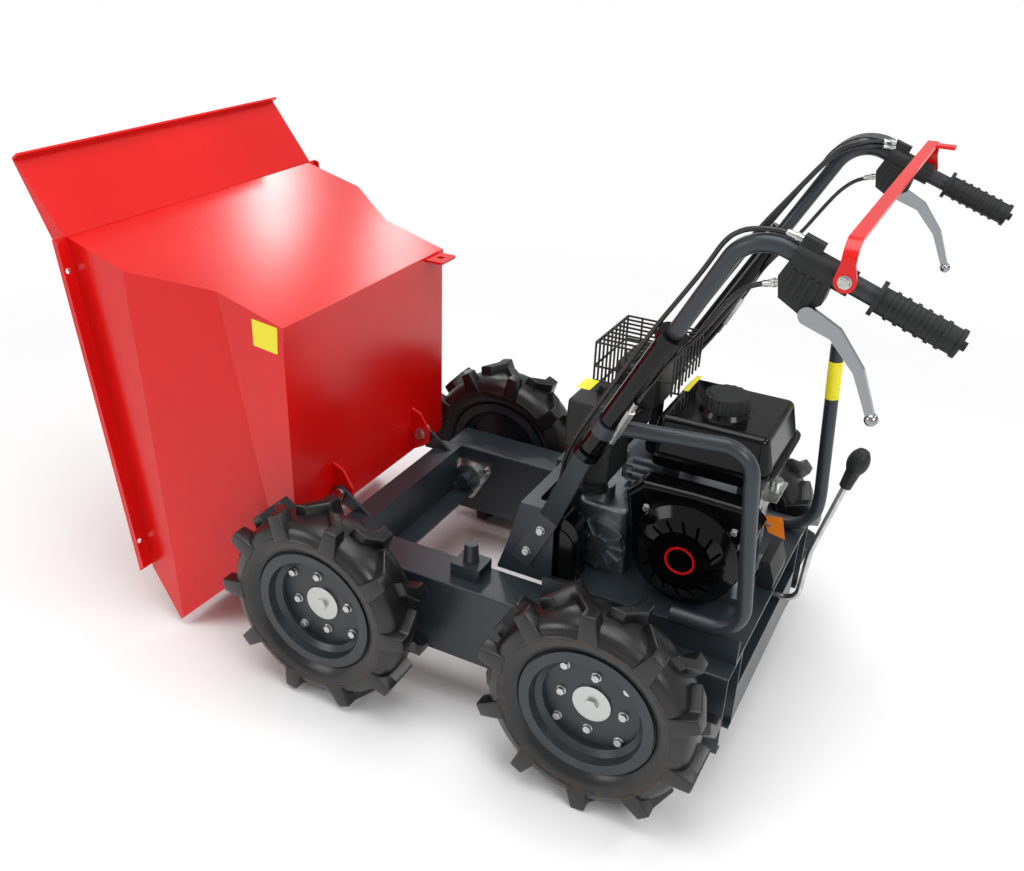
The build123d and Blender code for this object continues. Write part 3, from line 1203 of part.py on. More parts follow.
with BuildPart() as handle_sleeve:
    with BuildSketch(Plane(origin=COLLAR_LOW, z_dir=TUBE_DIR)):
        Circle(COLLAR_R)
    extrude(amount=COLLAR_T)
    with BuildSketch(Plane(origin=COLLAR_LOW, z_dir=TUBE_DIR)):
        Circle(SLEEVE_R)
    extrude(amount=SLEEVE_L)
    with BuildSketch(Plane(origin=along(COLLAR_LOW, TUBE_DIR, SLEEVE_L - COLLAR_T), z_dir=TUBE_DIR)):
        Circle(COLLAR_R)
    extrude(amount=COLLAR_T)
    with BuildSketch(Plane(origin=along(COLLAR_LOW, TUBE_DIR, SLEEVE_L - TUBE_INSERT), z_dir=TUBE_DIR)):
        Circle(TUBE_R + SEAT)
    extrude(amount=TUBE_INSERT, mode=Mode.SUBTRACT)
write_pair(handle_sleeve, "handle_sleeve")

GRIP_END = along(GRIP_FLANGE, GRIP_DIR, GRIP_L)
with BuildPart() as handle_tube:
    add(
        tube(
            (
                along(COLLAR_LOW, TUBE_DIR, SLEEVE_L - TUBE_INSERT),
                TUBE_CORNER,
                along(GRIP_FLANGE, GRIP_DIR, GRIP_L - COLLAR_T),
            ),
            TUBE_R,
            TUBE_BEND_R,
        )
    )
write_pair(handle_tube, "handle_tube")

with BuildPart() as grip:
    with BuildSketch(Plane(origin=GRIP_FLANGE, z_dir=GRIP_DIR)):
        Circle(GRIP_FLANGE_R)
    extrude(amount=GRIP_FLANGE_T)
    with BuildSketch(Plane(origin=GRIP_FLANGE, z_dir=GRIP_DIR)):
        Circle(GRIP_R)
    extrude(amount=GRIP_L - GRIP_FLANGE_T)
    for ring in range(GRIP_RINGS):
        ring_at = GRIP_FLANGE_T + (ring + 1) * (GRIP_L - 3 * GRIP_FLANGE_T) / (GRIP_RINGS + 1)
        with BuildSketch(Plane(origin=along(GRIP_FLANGE, GRIP_DIR, ring_at), z_dir=GRIP_DIR)):
            Circle(GRIP_R + GRIP_RING_H)
        extrude(amount=GRIP_RING_W)
    with BuildSketch(Plane(origin=along(GRIP_FLANGE, GRIP_DIR, GRIP_L - GRIP_FLANGE_T), z_dir=GRIP_DIR)):
        Circle(GRIP_R + GRIP_RING_H)
    extrude(amount=GRIP_FLANGE_T)
    with BuildSketch(Plane(origin=GRIP_END, z_dir=GRIP_DIR)):
        Circle(GRIP_NUB_R)
    extrude(amount=GRIP_NUB_L)
    with BuildSketch(Plane(origin=GRIP_FLANGE, z_dir=GRIP_DIR)):
        Circle(TUBE_R + SEAT)
    extrude(amount=GRIP_L - COLLAR_T + SEAT, mode=Mode.SUBTRACT)
write_pair(grip, "grip")

HOUSING_MID = along(TUBE_CORNER, GRIP_DIR, HOUSING_AT)
HOUSING_PLANE = Plane(origin=HOUSING_MID, x_dir=GRIP_DIR, z_dir=(0, 1, 0))
with BuildPart() as lever_housing:
    with BuildSketch(Plane(origin=along(HOUSING_MID, GRIP_DIR, -HOUSING_L / 2), z_dir=GRIP_DIR)):
        Circle(CLAMP_R)
    extrude(amount=HOUSING_L / 2 + PIVOT_ALONG + PIVOT_BOSS_R)
    with BuildSketch(HOUSING_PLANE.offset(-HOUSING_HALF_W)):
        with BuildLine():
            Polyline(
                (-HOUSING_L / 2, 0),
                (HOUSING_L / 2, 0),
                (HOUSING_L / 2 + SHEET, -HOUSING_DROP * 0.6),
                (HOUSING_L / 4, -HOUSING_DROP),
                (-HOUSING_L / 3, -HOUSING_DROP * 0.9),
                (-HOUSING_L / 2 - SHEET, -HOUSING_DROP * 0.5),
                close=True,
            )
        make_face()
    extrude(amount=2 * HOUSING_HALF_W)
    with BuildSketch(HOUSING_PLANE.offset(-HOUSING_HALF_W - HOUSING_RIB_H)):
        with Locations((0, -HOUSING_DROP / 2)):
            with GridLocations(HOUSING_L / 5, 0, 4, 1):
                Rectangle(HOUSING_RIB_W, HOUSING_DROP * 0.56)
    extrude(amount=2 * (HOUSING_HALF_W + HOUSING_RIB_H))
    with BuildSketch(HOUSING_PLANE):
        with Locations((-HOUSING_L / 4, CLAMP_R)):
            Rectangle(HOUSING_L / 2, HOUSING_DROP / 3, align=(Align.CENTER, Align.CENTER))
    extrude(amount=HOUSING_HALF_W / 2, both=True)
    with BuildSketch(HOUSING_PLANE):
        with Locations((PIVOT_ALONG, PIVOT_UP)):
            Circle(PIVOT_BOSS_R)
    extrude(amount=PIVOT_Y)
    with BuildSketch(Plane(origin=along(HOUSING_MID, GRIP_DIR, -HOUSING_L), z_dir=GRIP_DIR)):
        Circle(TUBE_R + SEAT)
    extrude(amount=3 * HOUSING_L, mode=Mode.SUBTRACT)
write_pair(lever_housing, "lever_housing")

LEVER_Y = HOUSING_MID.Y + HOUSING_HALF_W + HOUSING_RIB_H
with BuildPart() as clutch_lever:
    for (start_x, start_z, start_r), (end_x, end_z, end_r) in zip(LEVER_SHAPE, LEVER_SHAPE[1:]):
        with BuildSketch(side_plane(LEVER_Y + LEVER_T)):
            with BuildLine():
                CenterArc((start_x, start_z), start_r, 0, 360)
                CenterArc((end_x, end_z), end_r, 0, 360)
            make_hull()
        extrude(amount=LEVER_T)
    with Locations((LEVER_SHAPE[-1][0], LEVER_Y + LEVER_T / 2, LEVER_SHAPE[-1][1])):
        Sphere(LEVER_BALL_R)
write_pair(clutch_lever, "clutch_lever")

PIVOT = HOUSING_PLANE.from_local_coords(Vector(PIVOT_ALONG, PIVOT_UP, 0))
BAIL_Y = HOUSING_MID.Y + PIVOT_Y
with BuildPart() as bail:
    with BuildSketch(Plane.YZ.offset(PIVOT.X - BAIL_W / 2)):
        with BuildLine():
            FilletPolyline(
                (BAIL_Y + BAIL_T, PIVOT.Z),
                (BAIL_Y + BAIL_T, BAIL_TOP_Z + BAIL_T),
                (-BAIL_Y - BAIL_T, BAIL_TOP_Z + BAIL_T),
                (-BAIL_Y - BAIL_T, PIVOT.Z),
                radius=BAIL_BEND_R + BAIL_T,
            )
            Line((-BAIL_Y - BAIL_T, PIVOT.Z), (-BAIL_Y, PIVOT.Z))
            FilletPolyline(
                (-BAIL_Y, PIVOT.Z),
                (-BAIL_Y, BAIL_TOP_Z),
                (BAIL_Y, BAIL_TOP_Z),
                (BAIL_Y, PIVOT.Z),
                radius=BAIL_BEND_R,
            )
            Line((BAIL_Y, PIVOT.Z), (BAIL_Y + BAIL_T, PIVOT.Z))
        make_face()
    extrude(amount=BAIL_W)
    for ear_y in (BAIL_Y + BAIL_T, -BAIL_Y):
        with BuildSketch(side_plane(ear_y)):
            with BuildLine():
                CenterArc((PIVOT.X, PIVOT.Z), BAIL_EAR_R, 0, 360)
                CenterArc((PIVOT.X, BAIL_TOP_Z - BAIL_BEND_R), BAIL_W / 2, 0, 360)
            make_hull()
        extrude(amount=BAIL_T)
    with BuildSketch(Plane.XY.offset(BAIL_TOP_Z)):
        with Locations((PIVOT.X - BAIL_W / 2, -BAIL_Y + BAIL_BEND_R + BAIL_TAB_W)):
            Rectangle(BAIL_TAB_L, BAIL_TAB_W, align=(Align.MAX, Align.CENTER))
    extrude(amount=BAIL_T)
write(bail, "bail")

with BuildPart() as bend_cover:
    flat_up = Vector(TUBE_DIR.X, TUBE_DIR.Z).normalized()
    flat_back = Vector(GRIP_DIR.X, GRIP_DIR.Z).normalized()
    with BuildSketch(side_plane(-TUBE_CORNER[1] + COVER_PLATE_W / 2)):
        with BuildLine():
            for lift in (COVER_PLATE_LIFT, COVER_PLATE_LIFT + COVER_PLATE_T):
                up_shift = Vector(flat_up.Y, -flat_up.X) * lift
                back_shift = Vector(flat_back.Y, -flat_back.X) * lift
                half_turn = (up_shift.get_angle(back_shift)) / 2
                corner = Vector(TUBE_CORNER[0], TUBE_CORNER[2])
                middle = corner + (up_shift + back_shift).normalized() * (lift / cos(radians(half_turn)))
                FilletPolyline(
                    corner + up_shift - flat_up * COVER_PLATE_REACH,
                    middle,
                    corner + back_shift + flat_back * COVER_PLATE_REACH,
                    radius=TUBE_BEND_R + lift,
                )
            for shift, reach in ((flat_up, -COVER_PLATE_REACH), (flat_back, COVER_PLATE_REACH)):
                out = Vector(shift.Y, -shift.X)
                foot = Vector(TUBE_CORNER[0], TUBE_CORNER[2]) + shift * reach
                Line(foot + out * COVER_PLATE_LIFT, foot + out * (COVER_PLATE_LIFT + COVER_PLATE_T))
        make_face()
    extrude(amount=COVER_PLATE_W)
    with BuildSketch(side_plane(-TUBE_CORNER[1] + COVER_SADDLE_W / 2)):
        for shift, reach in ((flat_up, -COVER_PLATE_REACH), (flat_back, COVER_PLATE_REACH)):
            out = Vector(shift.Y, -shift.X)
            toe = Vector(TUBE_CORNER[0], TUBE_CORNER[2]) + shift * reach
            heel = toe - shift * (COVER_SADDLE_L if reach > 0 else -COVER_SADDLE_L)
            with BuildLine():
                Polyline(
                    toe + out * (TUBE_R + SEAT),
                    toe + out * COVER_PLATE_LIFT,
                    heel + out * COVER_PLATE_LIFT,
                    heel + out * (TUBE_R + SEAT),
                    close=True,
                )
            make_face()
    extrude(amount=COVER_SADDLE_W)
write(bend_cover, "bend_cover")

# ---------------------------------------------------------------- guard tube, release lever, gear lever
GUARD_Y = BED_HALF_W - BED_T / 2
GUARD_LOW_Z = CASE_TOP + BED_WALL_H + GUARD_R
GUARD_MEET = along(COLLAR_LOW, TUBE_DIR, GUARD_MEET_AT)
with BuildPart() as engine_guard:
    add(
        tube(
            (
                GUARD_MEET,
                (GUARD_TOP_REAR[0], GUARD_Y, GUARD_TOP_REAR[1]),
                (GUARD_LOW_REAR_X, GUARD_Y, GUARD_LOW_Z),
                (GUARD_FOOT_X, GUARD_Y, GUARD_LOW_Z),
            ),
            GUARD_R,
            GUARD_BEND_R,
        )
    )
    with BuildSketch(Plane(origin=along(GUARD_MEET, TUBE_DIR, -GUARD_R), z_dir=TUBE_DIR)):
        Circle(SLEEVE_R + SHEET)
    extrude(amount=2 * GUARD_R)
    with BuildSketch(Plane(origin=along(GUARD_MEET, TUBE_DIR, -4 * GUARD_R), z_dir=TUBE_DIR)):
        Circle(SLEEVE_R + SEAT)
    extrude(amount=8 * GUARD_R, mode=Mode.SUBTRACT)
write(engine_guard, "engine_guard")

with BuildPart() as release_lever:
    add(
        tube(
            (
                (RELEASE_FOOT_X, RELEASE_Y, BED_TOP + TUBE_R),
                (RELEASE_CORNER_X, RELEASE_Y, BED_TOP + TUBE_R),
                (RELEASE_MID[0], RELEASE_Y, RELEASE_MID[1]),
                (RELEASE_TOP[0], RELEASE_Y, RELEASE_TOP[1]),
            ),
            TUBE_R,
            (RELEASE_BEND_R, RELEASE_BEND_R * 4),
        )
    )
write(release_lever, "release_lever")

with BuildPart() as gear_lever:
    add(
        tube(
            [(x, GEAR_Y, z) for x, z in ((GEAR_ROD[0][0] + GEAR_LUG_L / 2, GEAR_ROD[0][1]), *GEAR_ROD[1:])],
            GEAR_ROD_R,
            GEAR_BEND_R,
        )
    )
write(gear_lever, "gear_lever")

KNOB_DIR = Vector(GEAR_ROD[3][0] - GEAR_ROD[2][0], 0, GEAR_ROD[3][1] - GEAR_ROD[2][1]).normalized()
KNOB_BASE = Vector(GEAR_ROD[3][0], GEAR_Y, GEAR_ROD[3][1])
with BuildPart() as gear_knob:
    with BuildSketch(Plane(origin=KNOB_BASE, x_dir=(0, 1, 0), z_dir=Vector(0, 1, 0).cross(KNOB_DIR))):
        with BuildLine():
            Polyline((0, KNOB_L), (0, 0), (KNOB_NECK_R, 0), (KNOB_NECK_R + 2, KNOB_L * 0.42))
            ThreePointArc(
                (KNOB_NECK_R + 2, KNOB_L * 0.42),
                (KNOB_R, KNOB_L * 0.68),
                (KNOB_R * 0.8, KNOB_L * 0.88),
            )
            Polyline(
                (KNOB_R * 0.8, KNOB_L * 0.88),
                (KNOB_R * 0.55, KNOB_L * 0.97),
                (KNOB_R * 0.3, KNOB_L),
                (0, KNOB_L),
            )
        make_face()
    revolve(axis=Axis(KNOB_BASE, KNOB_DIR))
write(gear_knob, "gear_knob")
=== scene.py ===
import bpy
from math import cos, pi, radians, sin
from mathutils import Matrix, Vector


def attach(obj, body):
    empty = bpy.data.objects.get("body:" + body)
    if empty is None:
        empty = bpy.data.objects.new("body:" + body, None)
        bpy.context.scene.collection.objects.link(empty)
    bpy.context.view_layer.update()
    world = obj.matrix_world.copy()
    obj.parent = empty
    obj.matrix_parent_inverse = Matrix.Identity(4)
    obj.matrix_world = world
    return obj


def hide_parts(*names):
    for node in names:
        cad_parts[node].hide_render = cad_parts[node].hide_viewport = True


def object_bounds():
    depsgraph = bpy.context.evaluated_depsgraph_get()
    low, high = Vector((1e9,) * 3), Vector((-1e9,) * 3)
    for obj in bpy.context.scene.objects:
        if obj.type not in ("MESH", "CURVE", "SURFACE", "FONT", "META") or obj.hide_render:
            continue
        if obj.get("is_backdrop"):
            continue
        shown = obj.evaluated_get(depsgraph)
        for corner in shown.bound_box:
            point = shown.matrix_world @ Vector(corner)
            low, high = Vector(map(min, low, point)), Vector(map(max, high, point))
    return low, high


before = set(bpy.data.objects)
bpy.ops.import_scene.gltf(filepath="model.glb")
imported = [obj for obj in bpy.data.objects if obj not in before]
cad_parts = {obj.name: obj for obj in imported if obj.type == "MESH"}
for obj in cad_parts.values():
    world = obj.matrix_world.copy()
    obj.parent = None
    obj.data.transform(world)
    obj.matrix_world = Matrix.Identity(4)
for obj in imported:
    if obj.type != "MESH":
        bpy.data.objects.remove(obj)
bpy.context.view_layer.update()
studio = bpy.context.scene

# ---- Studio -----------------------------------------------------------------------------
# A white paper floor under soft lamps, with the camera at about chest height. The paper
# keeps its shadows near the machine and turns plain white further out.


def srgb(code):
    """Linear red, green, blue and alpha of an sRGB hex colour."""
    parts = [int(code[i:i + 2], 16) / 255 for i in (1, 3, 5)]
    return [c / 12.92 if c <= 0.04045 else ((c + 0.055) / 1.055) ** 2.4 for c in parts] + [1.0]


def add(tree, kind, inputs=None, **settings):
    """Adds a node with its settings; an input given a socket is linked to it."""
    made = tree.nodes.new(kind)
    for name, value in settings.items():
        setattr(made, name, value)
    for name, value in (inputs or {}).items():
        if isinstance(value, bpy.types.NodeSocket):
            tree.links.new(value, made.inputs[name])
        else:
            made.inputs[name].default_value = value
    return made


def start_material(name):
    """A new material, its emptied node tree and its place in metres on the object."""
    made = bpy.data.materials.new(name)
    made.use_nodes = True
    tree = made.node_tree
    tree.nodes.clear()
    return made, tree, add(tree, "ShaderNodeTexCoord").outputs["Object"]


def maths(tree, operation, first, second=0.0):
    """The result of one step of arithmetic, done by a node."""
    return add(tree, "ShaderNodeMath", {0: first, 1: second}, operation=operation).outputs[0]


camera_data = bpy.data.cameras.new("studio_camera")
camera_data.lens = 36.52
camera_data.sensor_width = 36.0
camera_data.clip_end = 100.0
camera = bpy.data.objects.new("studio_camera", camera_data)
studio.collection.objects.link(camera)
camera.matrix_world = Matrix((
    (-0.88662, 0.24106, -0.39471, -0.82939),
    (-0.46123, -0.39782, 0.79310, 1.59827),
    (0.03416, 0.88523, 0.46390, 1.37386),
    (0.0, 0.0, 0.0, 1.0),
))
studio.camera = camera

FLOOR_SIDE = 60.0
SHADOW_REACH, WHITE_REACH = 1.0, 2.6
bpy.ops.object.select_all(action="DESELECT")
bpy.ops.mesh.primitive_plane_add(size=FLOOR_SIDE)
floor = bpy.context.object
floor.name = "paper_floor"
paper, tree, place = start_material("white background paper")
reach = add(tree, "ShaderNodeVectorMath", {0: place}, operation="LENGTH").outputs["Value"]
fade = add(tree, "ShaderNodeMapRange", {
    "Value": reach, "From Min": SHADOW_REACH, "From Max": WHITE_REACH}).outputs["Result"]
rays = add(tree, "ShaderNodeLightPath")
seen = maths(tree, "MAXIMUM", rays.outputs["Is Camera Ray"], rays.outputs["Is Glossy Ray"])
seen = maths(tree, "MAXIMUM", seen, rays.outputs["Is Transmission Ray"])
white_part = maths(tree, "MULTIPLY", fade, seen)
matt = add(tree, "ShaderNodeBsdfDiffuse", {"Color": srgb("#fbfbfb")}).outputs[0]
glow = add(tree, "ShaderNodeEmission", {"Color": (1, 1, 1, 1), "Strength": 1.0}).outputs[0]
surface = add(tree, "ShaderNodeMixShader", {0: white_part, 1: matt, 2: glow}).outputs[0]
add(tree, "ShaderNodeOutputMaterial", {"Surface": surface})
floor.data.materials.append(paper)
floor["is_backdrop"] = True

world = bpy.data.worlds.new("studio_room")
studio.world = world
world.use_nodes = True
tree = world.node_tree
tree.nodes.clear()
rays = add(tree, "ShaderNodeLightPath")
room = add(tree, "ShaderNodeBackground", {"Color": (1, 1, 1, 1), "Strength": 0.5}).outputs[0]
backdrop = add(tree, "ShaderNodeBackground", {"Color": (1, 1, 1, 1), "Strength": 1.0}).outputs[0]
surface = add(tree, "ShaderNodeMixShader", {
    0: rays.outputs["Is Camera Ray"], 1: room, 2: backdrop}).outputs[0]
add(tree, "ShaderNodeOutputWorld", {"Surface": surface})

softboxes = (
    # name, place, aimed at, width, height, power
    ("softbox_overhead", (0.0, 0.3, 3.4), (0.0, 0.0, 0.3), 2.6, 2.6, 66.0),
    ("strip_behind_left", (1.58, -1.90, 2.07), (0.55, -0.1, 0.75), 0.30, 0.09, 4.0),
    ("strip_behind_right", (1.02, -2.06, 1.97), (0.35, -0.1, 0.72), 0.26, 0.08, 3.0),
    ("strip_engine", (-2.3, -0.9, 2.6), (-0.4, 0.0, 0.5), 0.25, 1.4, 14.0),
    ("softbox_camera_left", (2.4, 2.6, 1.9), (0.3, 0.2, 0.4), 1.2, 1.6, 26.0),
    ("softbox_camera_right", (-2.4, 1.6, 2.0), (-0.3, 0.1, 0.5), 0.7, 1.4, 24.0),
)
for name, where, aim, wide, high, power in softboxes:
    lamp = bpy.data.lights.new(name, "AREA")
    lamp.shape = "RECTANGLE"
    lamp.size = wide
    lamp.size_y = high
    lamp.energy = power
    stand = bpy.data.objects.new(name, lamp)
    studio.collection.objects.link(stand)
    stand.location = where
    stand.rotation_mode = "QUATERNION"
    stand.rotation_quaternion = (Vector(aim) - Vector(where)).to_track_quat("-Z", "Z")

studio.view_settings.view_transform = "Standard"


# ---- Skip -------------------------------------------------------------------------------
# Folded 3 mm steel sheet, welded at the corners and powder coated in gloss red. The coat
# flows into a faint orange peel, and its depth of colour drifts over the wide faces.


def noise(tree, place, scale, detail):
    """Soft noise with about this many lumps to the metre."""
    return add(tree, "ShaderNodeTexNoise", {
        "Vector": place, "Scale": scale, "Detail": detail}).outputs["Fac"]


def two_tone(tree, value, first, second, start=0.0, end=1.0):
    """A colour that runs from one sRGB hex colour to another as a value rises."""
    ramp = add(tree, "ShaderNodeValToRGB", {"Fac": value})
    for stop, code, position in zip(ramp.color_ramp.elements, (first, second), (start, end)):
        stop.position = position
        stop.color = srgb(code)
    return ramp.outputs["Color"]


def spread(tree, value, low, high):
    """A value from 0 to 1 turned into one from low to high."""
    return add(tree, "ShaderNodeMapRange", {
        "Value": value, "To Min": low, "To Max": high}).outputs[0]


def bumps(tree, height, strength, depth):
    """Fine relief, with its depth in metres."""
    return add(tree, "ShaderNodeBump", {
        "Height": height, "Strength": strength, "Distance": depth}).outputs[0]


def dress(material, *names):
    """Gives CAD nodes their material."""
    for name in names:
        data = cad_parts[name].data
        data.materials.clear()
        data.materials.append(material)


red_coat, tree, place = start_material("gloss red powder coat on steel")
drift = noise(tree, place, 3.0, 3.0)
tint = two_tone(tree, drift, "#cf0806", "#dc0d0a", 0.35, 0.7)
peel = noise(tree, place, 260.0, 2.0)
relief = bumps(tree, peel, 0.05, 0.0006)
sheen = spread(tree, drift, 0.2, 0.32)
coat = add(tree, "ShaderNodeBsdfPrincipled", {
    "Base Color": tint, "Roughness": sheen, "Normal": relief, "IOR": 1.5}).outputs[0]
add(tree, "ShaderNodeOutputMaterial", {"Surface": coat})
dress(red_coat, "skip_shell", "skip_ears", "latch_plate")

# ---- Chassis ----------------------------------------------------------------------------
# Side cases, crossmembers, bed, console, handle bars and the bent tubes: welded steel with
# an anthracite powder coat. It gives the eye a soft sheen over a fine orange peel.
grey_coat, tree, place = start_material("anthracite powder coat on steel")
drift = noise(tree, place, 7.0, 4.0)
tint = two_tone(tree, drift, "#23292e", "#2d343a", 0.3, 0.75)
peel = noise(tree, place, 320.0, 2.0)
relief = bumps(tree, peel, 0.07, 0.0006)
sheen = spread(tree, drift, 0.28, 0.42)
coat = add(tree, "ShaderNodeBsdfPrincipled", {
    "Base Color": tint, "Roughness": sheen, "Normal": relief, "IOR": 1.5}).outputs[0]
add(tree, "ShaderNodeOutputMaterial", {"Surface": coat})
dress(grey_coat, "side_case_left", "side_case_right", "front_crossmember", "rear_crossmember",
      "engine_bed", "gearbox_console", "bump_stops", "handle_bar_left", "handle_bar_right",
      "handle_tube_left", "handle_tube_right", "engine_guard", "release_lever", "bend_cover")

# ---- Bright fittings --------------------------------------------------------------------
# Hinge pins, bearing flanges, the gear rod and the throttle bracket: turned or pressed steel
# with a clear zinc plate, which gives a pale metal gleam in slight blotches.
zinc, tree, place = start_material("clear zinc plate on steel")
blotch = noise(tree, place, 60.0, 4.0)
tint = two_tone(tree, blotch, "#b4b6b4", "#d2d4d2", 0.3, 0.7)
sheen = spread(tree, blotch, 0.22, 0.4)
plate = add(tree, "ShaderNodeBsdfPrincipled", {
    "Base Color": tint, "Roughness": sheen, "Metallic": 1.0}).outputs[0]
add(tree, "ShaderNodeOutputMaterial", {"Surface": plate})
dress(zinc, "hinge_pins", "gear_lever", "throttle_bracket", "axle_bearing_front_left",
      "axle_bearing_front_right", "axle_bearing_rear_left", "axle_bearing_rear_right")

# ---- Wheel rims -------------------------------------------------------------------------
# Pressed steel rims in dark grey satin coat. Only the hub disc and its nut are zinc plated,
# and eight hex bolts in a square grid hold each rim's plate to its hub.
AXLE_MID_X, HALF_WHEELBASE, AXLE_Z, TRACK_HALF = -0.110, 0.270, 0.202, 0.357
HUB_FACE_Y, HUB_DISC_R = 0.3626, 0.0343
CLEAR_OF_FACE = 0.0002


def from_axle(tree, place):
    """Distance from the nearer axle's line, for patterns that go round a wheel."""
    axes = add(tree, "ShaderNodeSeparateXYZ", {0: place})
    across = maths(tree, "SUBTRACT", axes.outputs["X"], AXLE_MID_X)
    across = maths(tree, "ABSOLUTE", across)
    across = maths(tree, "SUBTRACT", across, HALF_WHEELBASE)
    above = maths(tree, "SUBTRACT", axes.outputs["Z"], AXLE_Z)
    flat = add(tree, "ShaderNodeCombineXYZ", {"X": across, "Y": above}).outputs[0]
    return add(tree, "ShaderNodeVectorMath", {0: flat}, operation="LENGTH").outputs["Value"]


rim_coat, tree, place = start_material("dark grey satin coat on pressed steel")
drift = noise(tree, place, 14.0, 4.0)
tint = two_tone(tree, drift, "#22282c", "#2e353a", 0.3, 0.75)
sheen = spread(tree, drift, 0.25, 0.4)
peel = noise(tree, place, 320.0, 2.0)
relief = bumps(tree, peel, 0.07, 0.0006)
coat = add(tree, "ShaderNodeBsdfPrincipled", {
    "Base Color": tint, "Roughness": sheen, "Normal": relief, "IOR": 1.5}).outputs[0]
brushed = noise(tree, place, 90.0, 4.0)
gleam = spread(tree, brushed, 0.28, 0.45)
hub_zinc = add(tree, "ShaderNodeBsdfPrincipled", {
    "Base Color": srgb("#c6c9c6"), "Roughness": gleam, "Metallic": 1.0}).outputs[0]
inside = maths(tree, "LESS_THAN", from_axle(tree, place), HUB_DISC_R)
outward = add(tree, "ShaderNodeSeparateXYZ", {0: place}).outputs["Y"]
outward = maths(tree, "ABSOLUTE", outward)
outer = maths(tree, "GREATER_THAN", outward, HUB_FACE_Y + CLEAR_OF_FACE)
plated = maths(tree, "MULTIPLY", inside, outer)
surface = add(tree, "ShaderNodeMixShader", {0: plated, 1: coat, 2: hub_zinc}).outputs[0]
add(tree, "ShaderNodeOutputMaterial", {"Surface": surface})
WHEELS = (
    # wheel, axle, side, turn of its bolts in degrees, turn of its lugs in degrees
    ("front_left", AXLE_MID_X + HALF_WHEELBASE, 1, 9.1, 60.0),
    ("rear_left", AXLE_MID_X - HALF_WHEELBASE, 1, -3.9, 41.7),
    ("front_right", AXLE_MID_X + HALF_WHEELBASE, -1, -14.0, 12.0),
    ("rear_right", AXLE_MID_X - HALF_WHEELBASE, -1, 5.0, 25.0),
)
dress(rim_coat, *[f"wheel_rim_{wheel}" for wheel, *_ in WHEELS])


SMOOTH_UNDER = 32


def settle(piece):
    """Moves a finished piece's place into its mesh and smooths its round faces."""
    bpy.ops.object.select_all(action="DESELECT")
    piece.select_set(True)
    bpy.context.view_layer.objects.active = piece
    bpy.ops.object.transform_apply(location=True, rotation=True, scale=True)
    bpy.ops.object.mode_set(mode="EDIT")
    bpy.ops.mesh.select_all(action="SELECT")
    bpy.ops.mesh.normals_make_consistent(inside=False)
    bpy.ops.object.mode_set(mode="OBJECT")
    bpy.ops.object.shade_smooth_by_angle(angle=radians(SMOOTH_UNDER))


def hex_bolt(name, head_r, head_h, washer_r, washer_t):
    """A bolt head on its washer, made at the origin and pointing up."""
    chamfer, dish, edge = head_r * 0.14, head_r * 0.3, 0.0005
    bpy.ops.object.select_all(action="DESELECT")
    bpy.ops.mesh.primitive_cylinder_add(vertices=6, radius=head_r, depth=head_h,
                                        location=(0, 0, washer_t + head_h / 2))
    head = bpy.context.object
    bpy.ops.object.mode_set(mode="EDIT")
    bpy.ops.mesh.select_all(action="DESELECT")
    bpy.ops.object.mode_set(mode="OBJECT")
    for face in head.data.polygons:
        face.select = face.normal.z > 0.9
    bpy.ops.object.mode_set(mode="EDIT")
    bpy.ops.mesh.inset(thickness=chamfer, depth=head_h * 0.12)
    bpy.ops.mesh.inset(thickness=dish, depth=-head_h * 0.06)
    bpy.ops.object.mode_set(mode="OBJECT")
    bpy.ops.mesh.primitive_cylinder_add(vertices=28, radius=washer_r, depth=washer_t,
                                        location=(0, 0, washer_t / 2))
    washer = bpy.context.object
    head.select_set(True)
    bpy.context.view_layer.objects.active = washer
    bpy.ops.object.join()
    washer.name = name
    rounding = washer.modifiers.new("rounding", "BEVEL")
    rounding.width = edge
    rounding.segments = 2
    rounding.limit_method = "ANGLE"
    bpy.ops.object.modifier_apply(modifier="rounding")
    settle(washer)
    return washer


def set_out(model, name, body, material, places):
    """One piece on a body: a small model copied to each (place, direction, turn)."""
    copies = []
    for where, direction, turn in places:
        copy = model.copy()
        copy.data = model.data.copy()
        studio.collection.objects.link(copy)
        stance = Vector(direction).to_track_quat("Z", "Y").to_matrix().to_4x4()
        copy.data.transform(Matrix.Translation(where) @ stance @ Matrix.Rotation(turn, 4, "Z"))
        copies.append(copy)
    bpy.ops.object.select_all(action="DESELECT")
    for copy in copies:
        copy.select_set(True)
    bpy.context.view_layer.objects.active = copies[0]
    bpy.ops.object.join()
    piece = copies[0]
    piece.name = name
    piece.data.materials.clear()
    piece.data.materials.append(material)
    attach(piece, body)


BOLT_PITCH = 0.056
m8_bolt = hex_bolt("m8_bolt", head_r=0.0078, head_h=0.0055, washer_r=0.0088, washer_t=0.0016)
for wheel, axle_x, sign, grid_turn, _ in WHEELS:
    places = []
    for across in (-1, 0, 1):
        for above in (-1, 0, 1):
            if across or above:
                offset = Vector((across * BOLT_PITCH, 0, above * BOLT_PITCH))
                offset.rotate(Matrix.Rotation(radians(grid_turn), 4, "Y"))
                where = Vector((axle_x, sign * HUB_FACE_Y, AXLE_Z)) + offset
                head_turn = radians(22.0 * across + 46.0 * above)
                places.append((where, (0, sign, 0), head_turn))
    set_out(m8_bolt, f"rim_bolts_{wheel}", f"wheel_{wheel}", zinc, places)

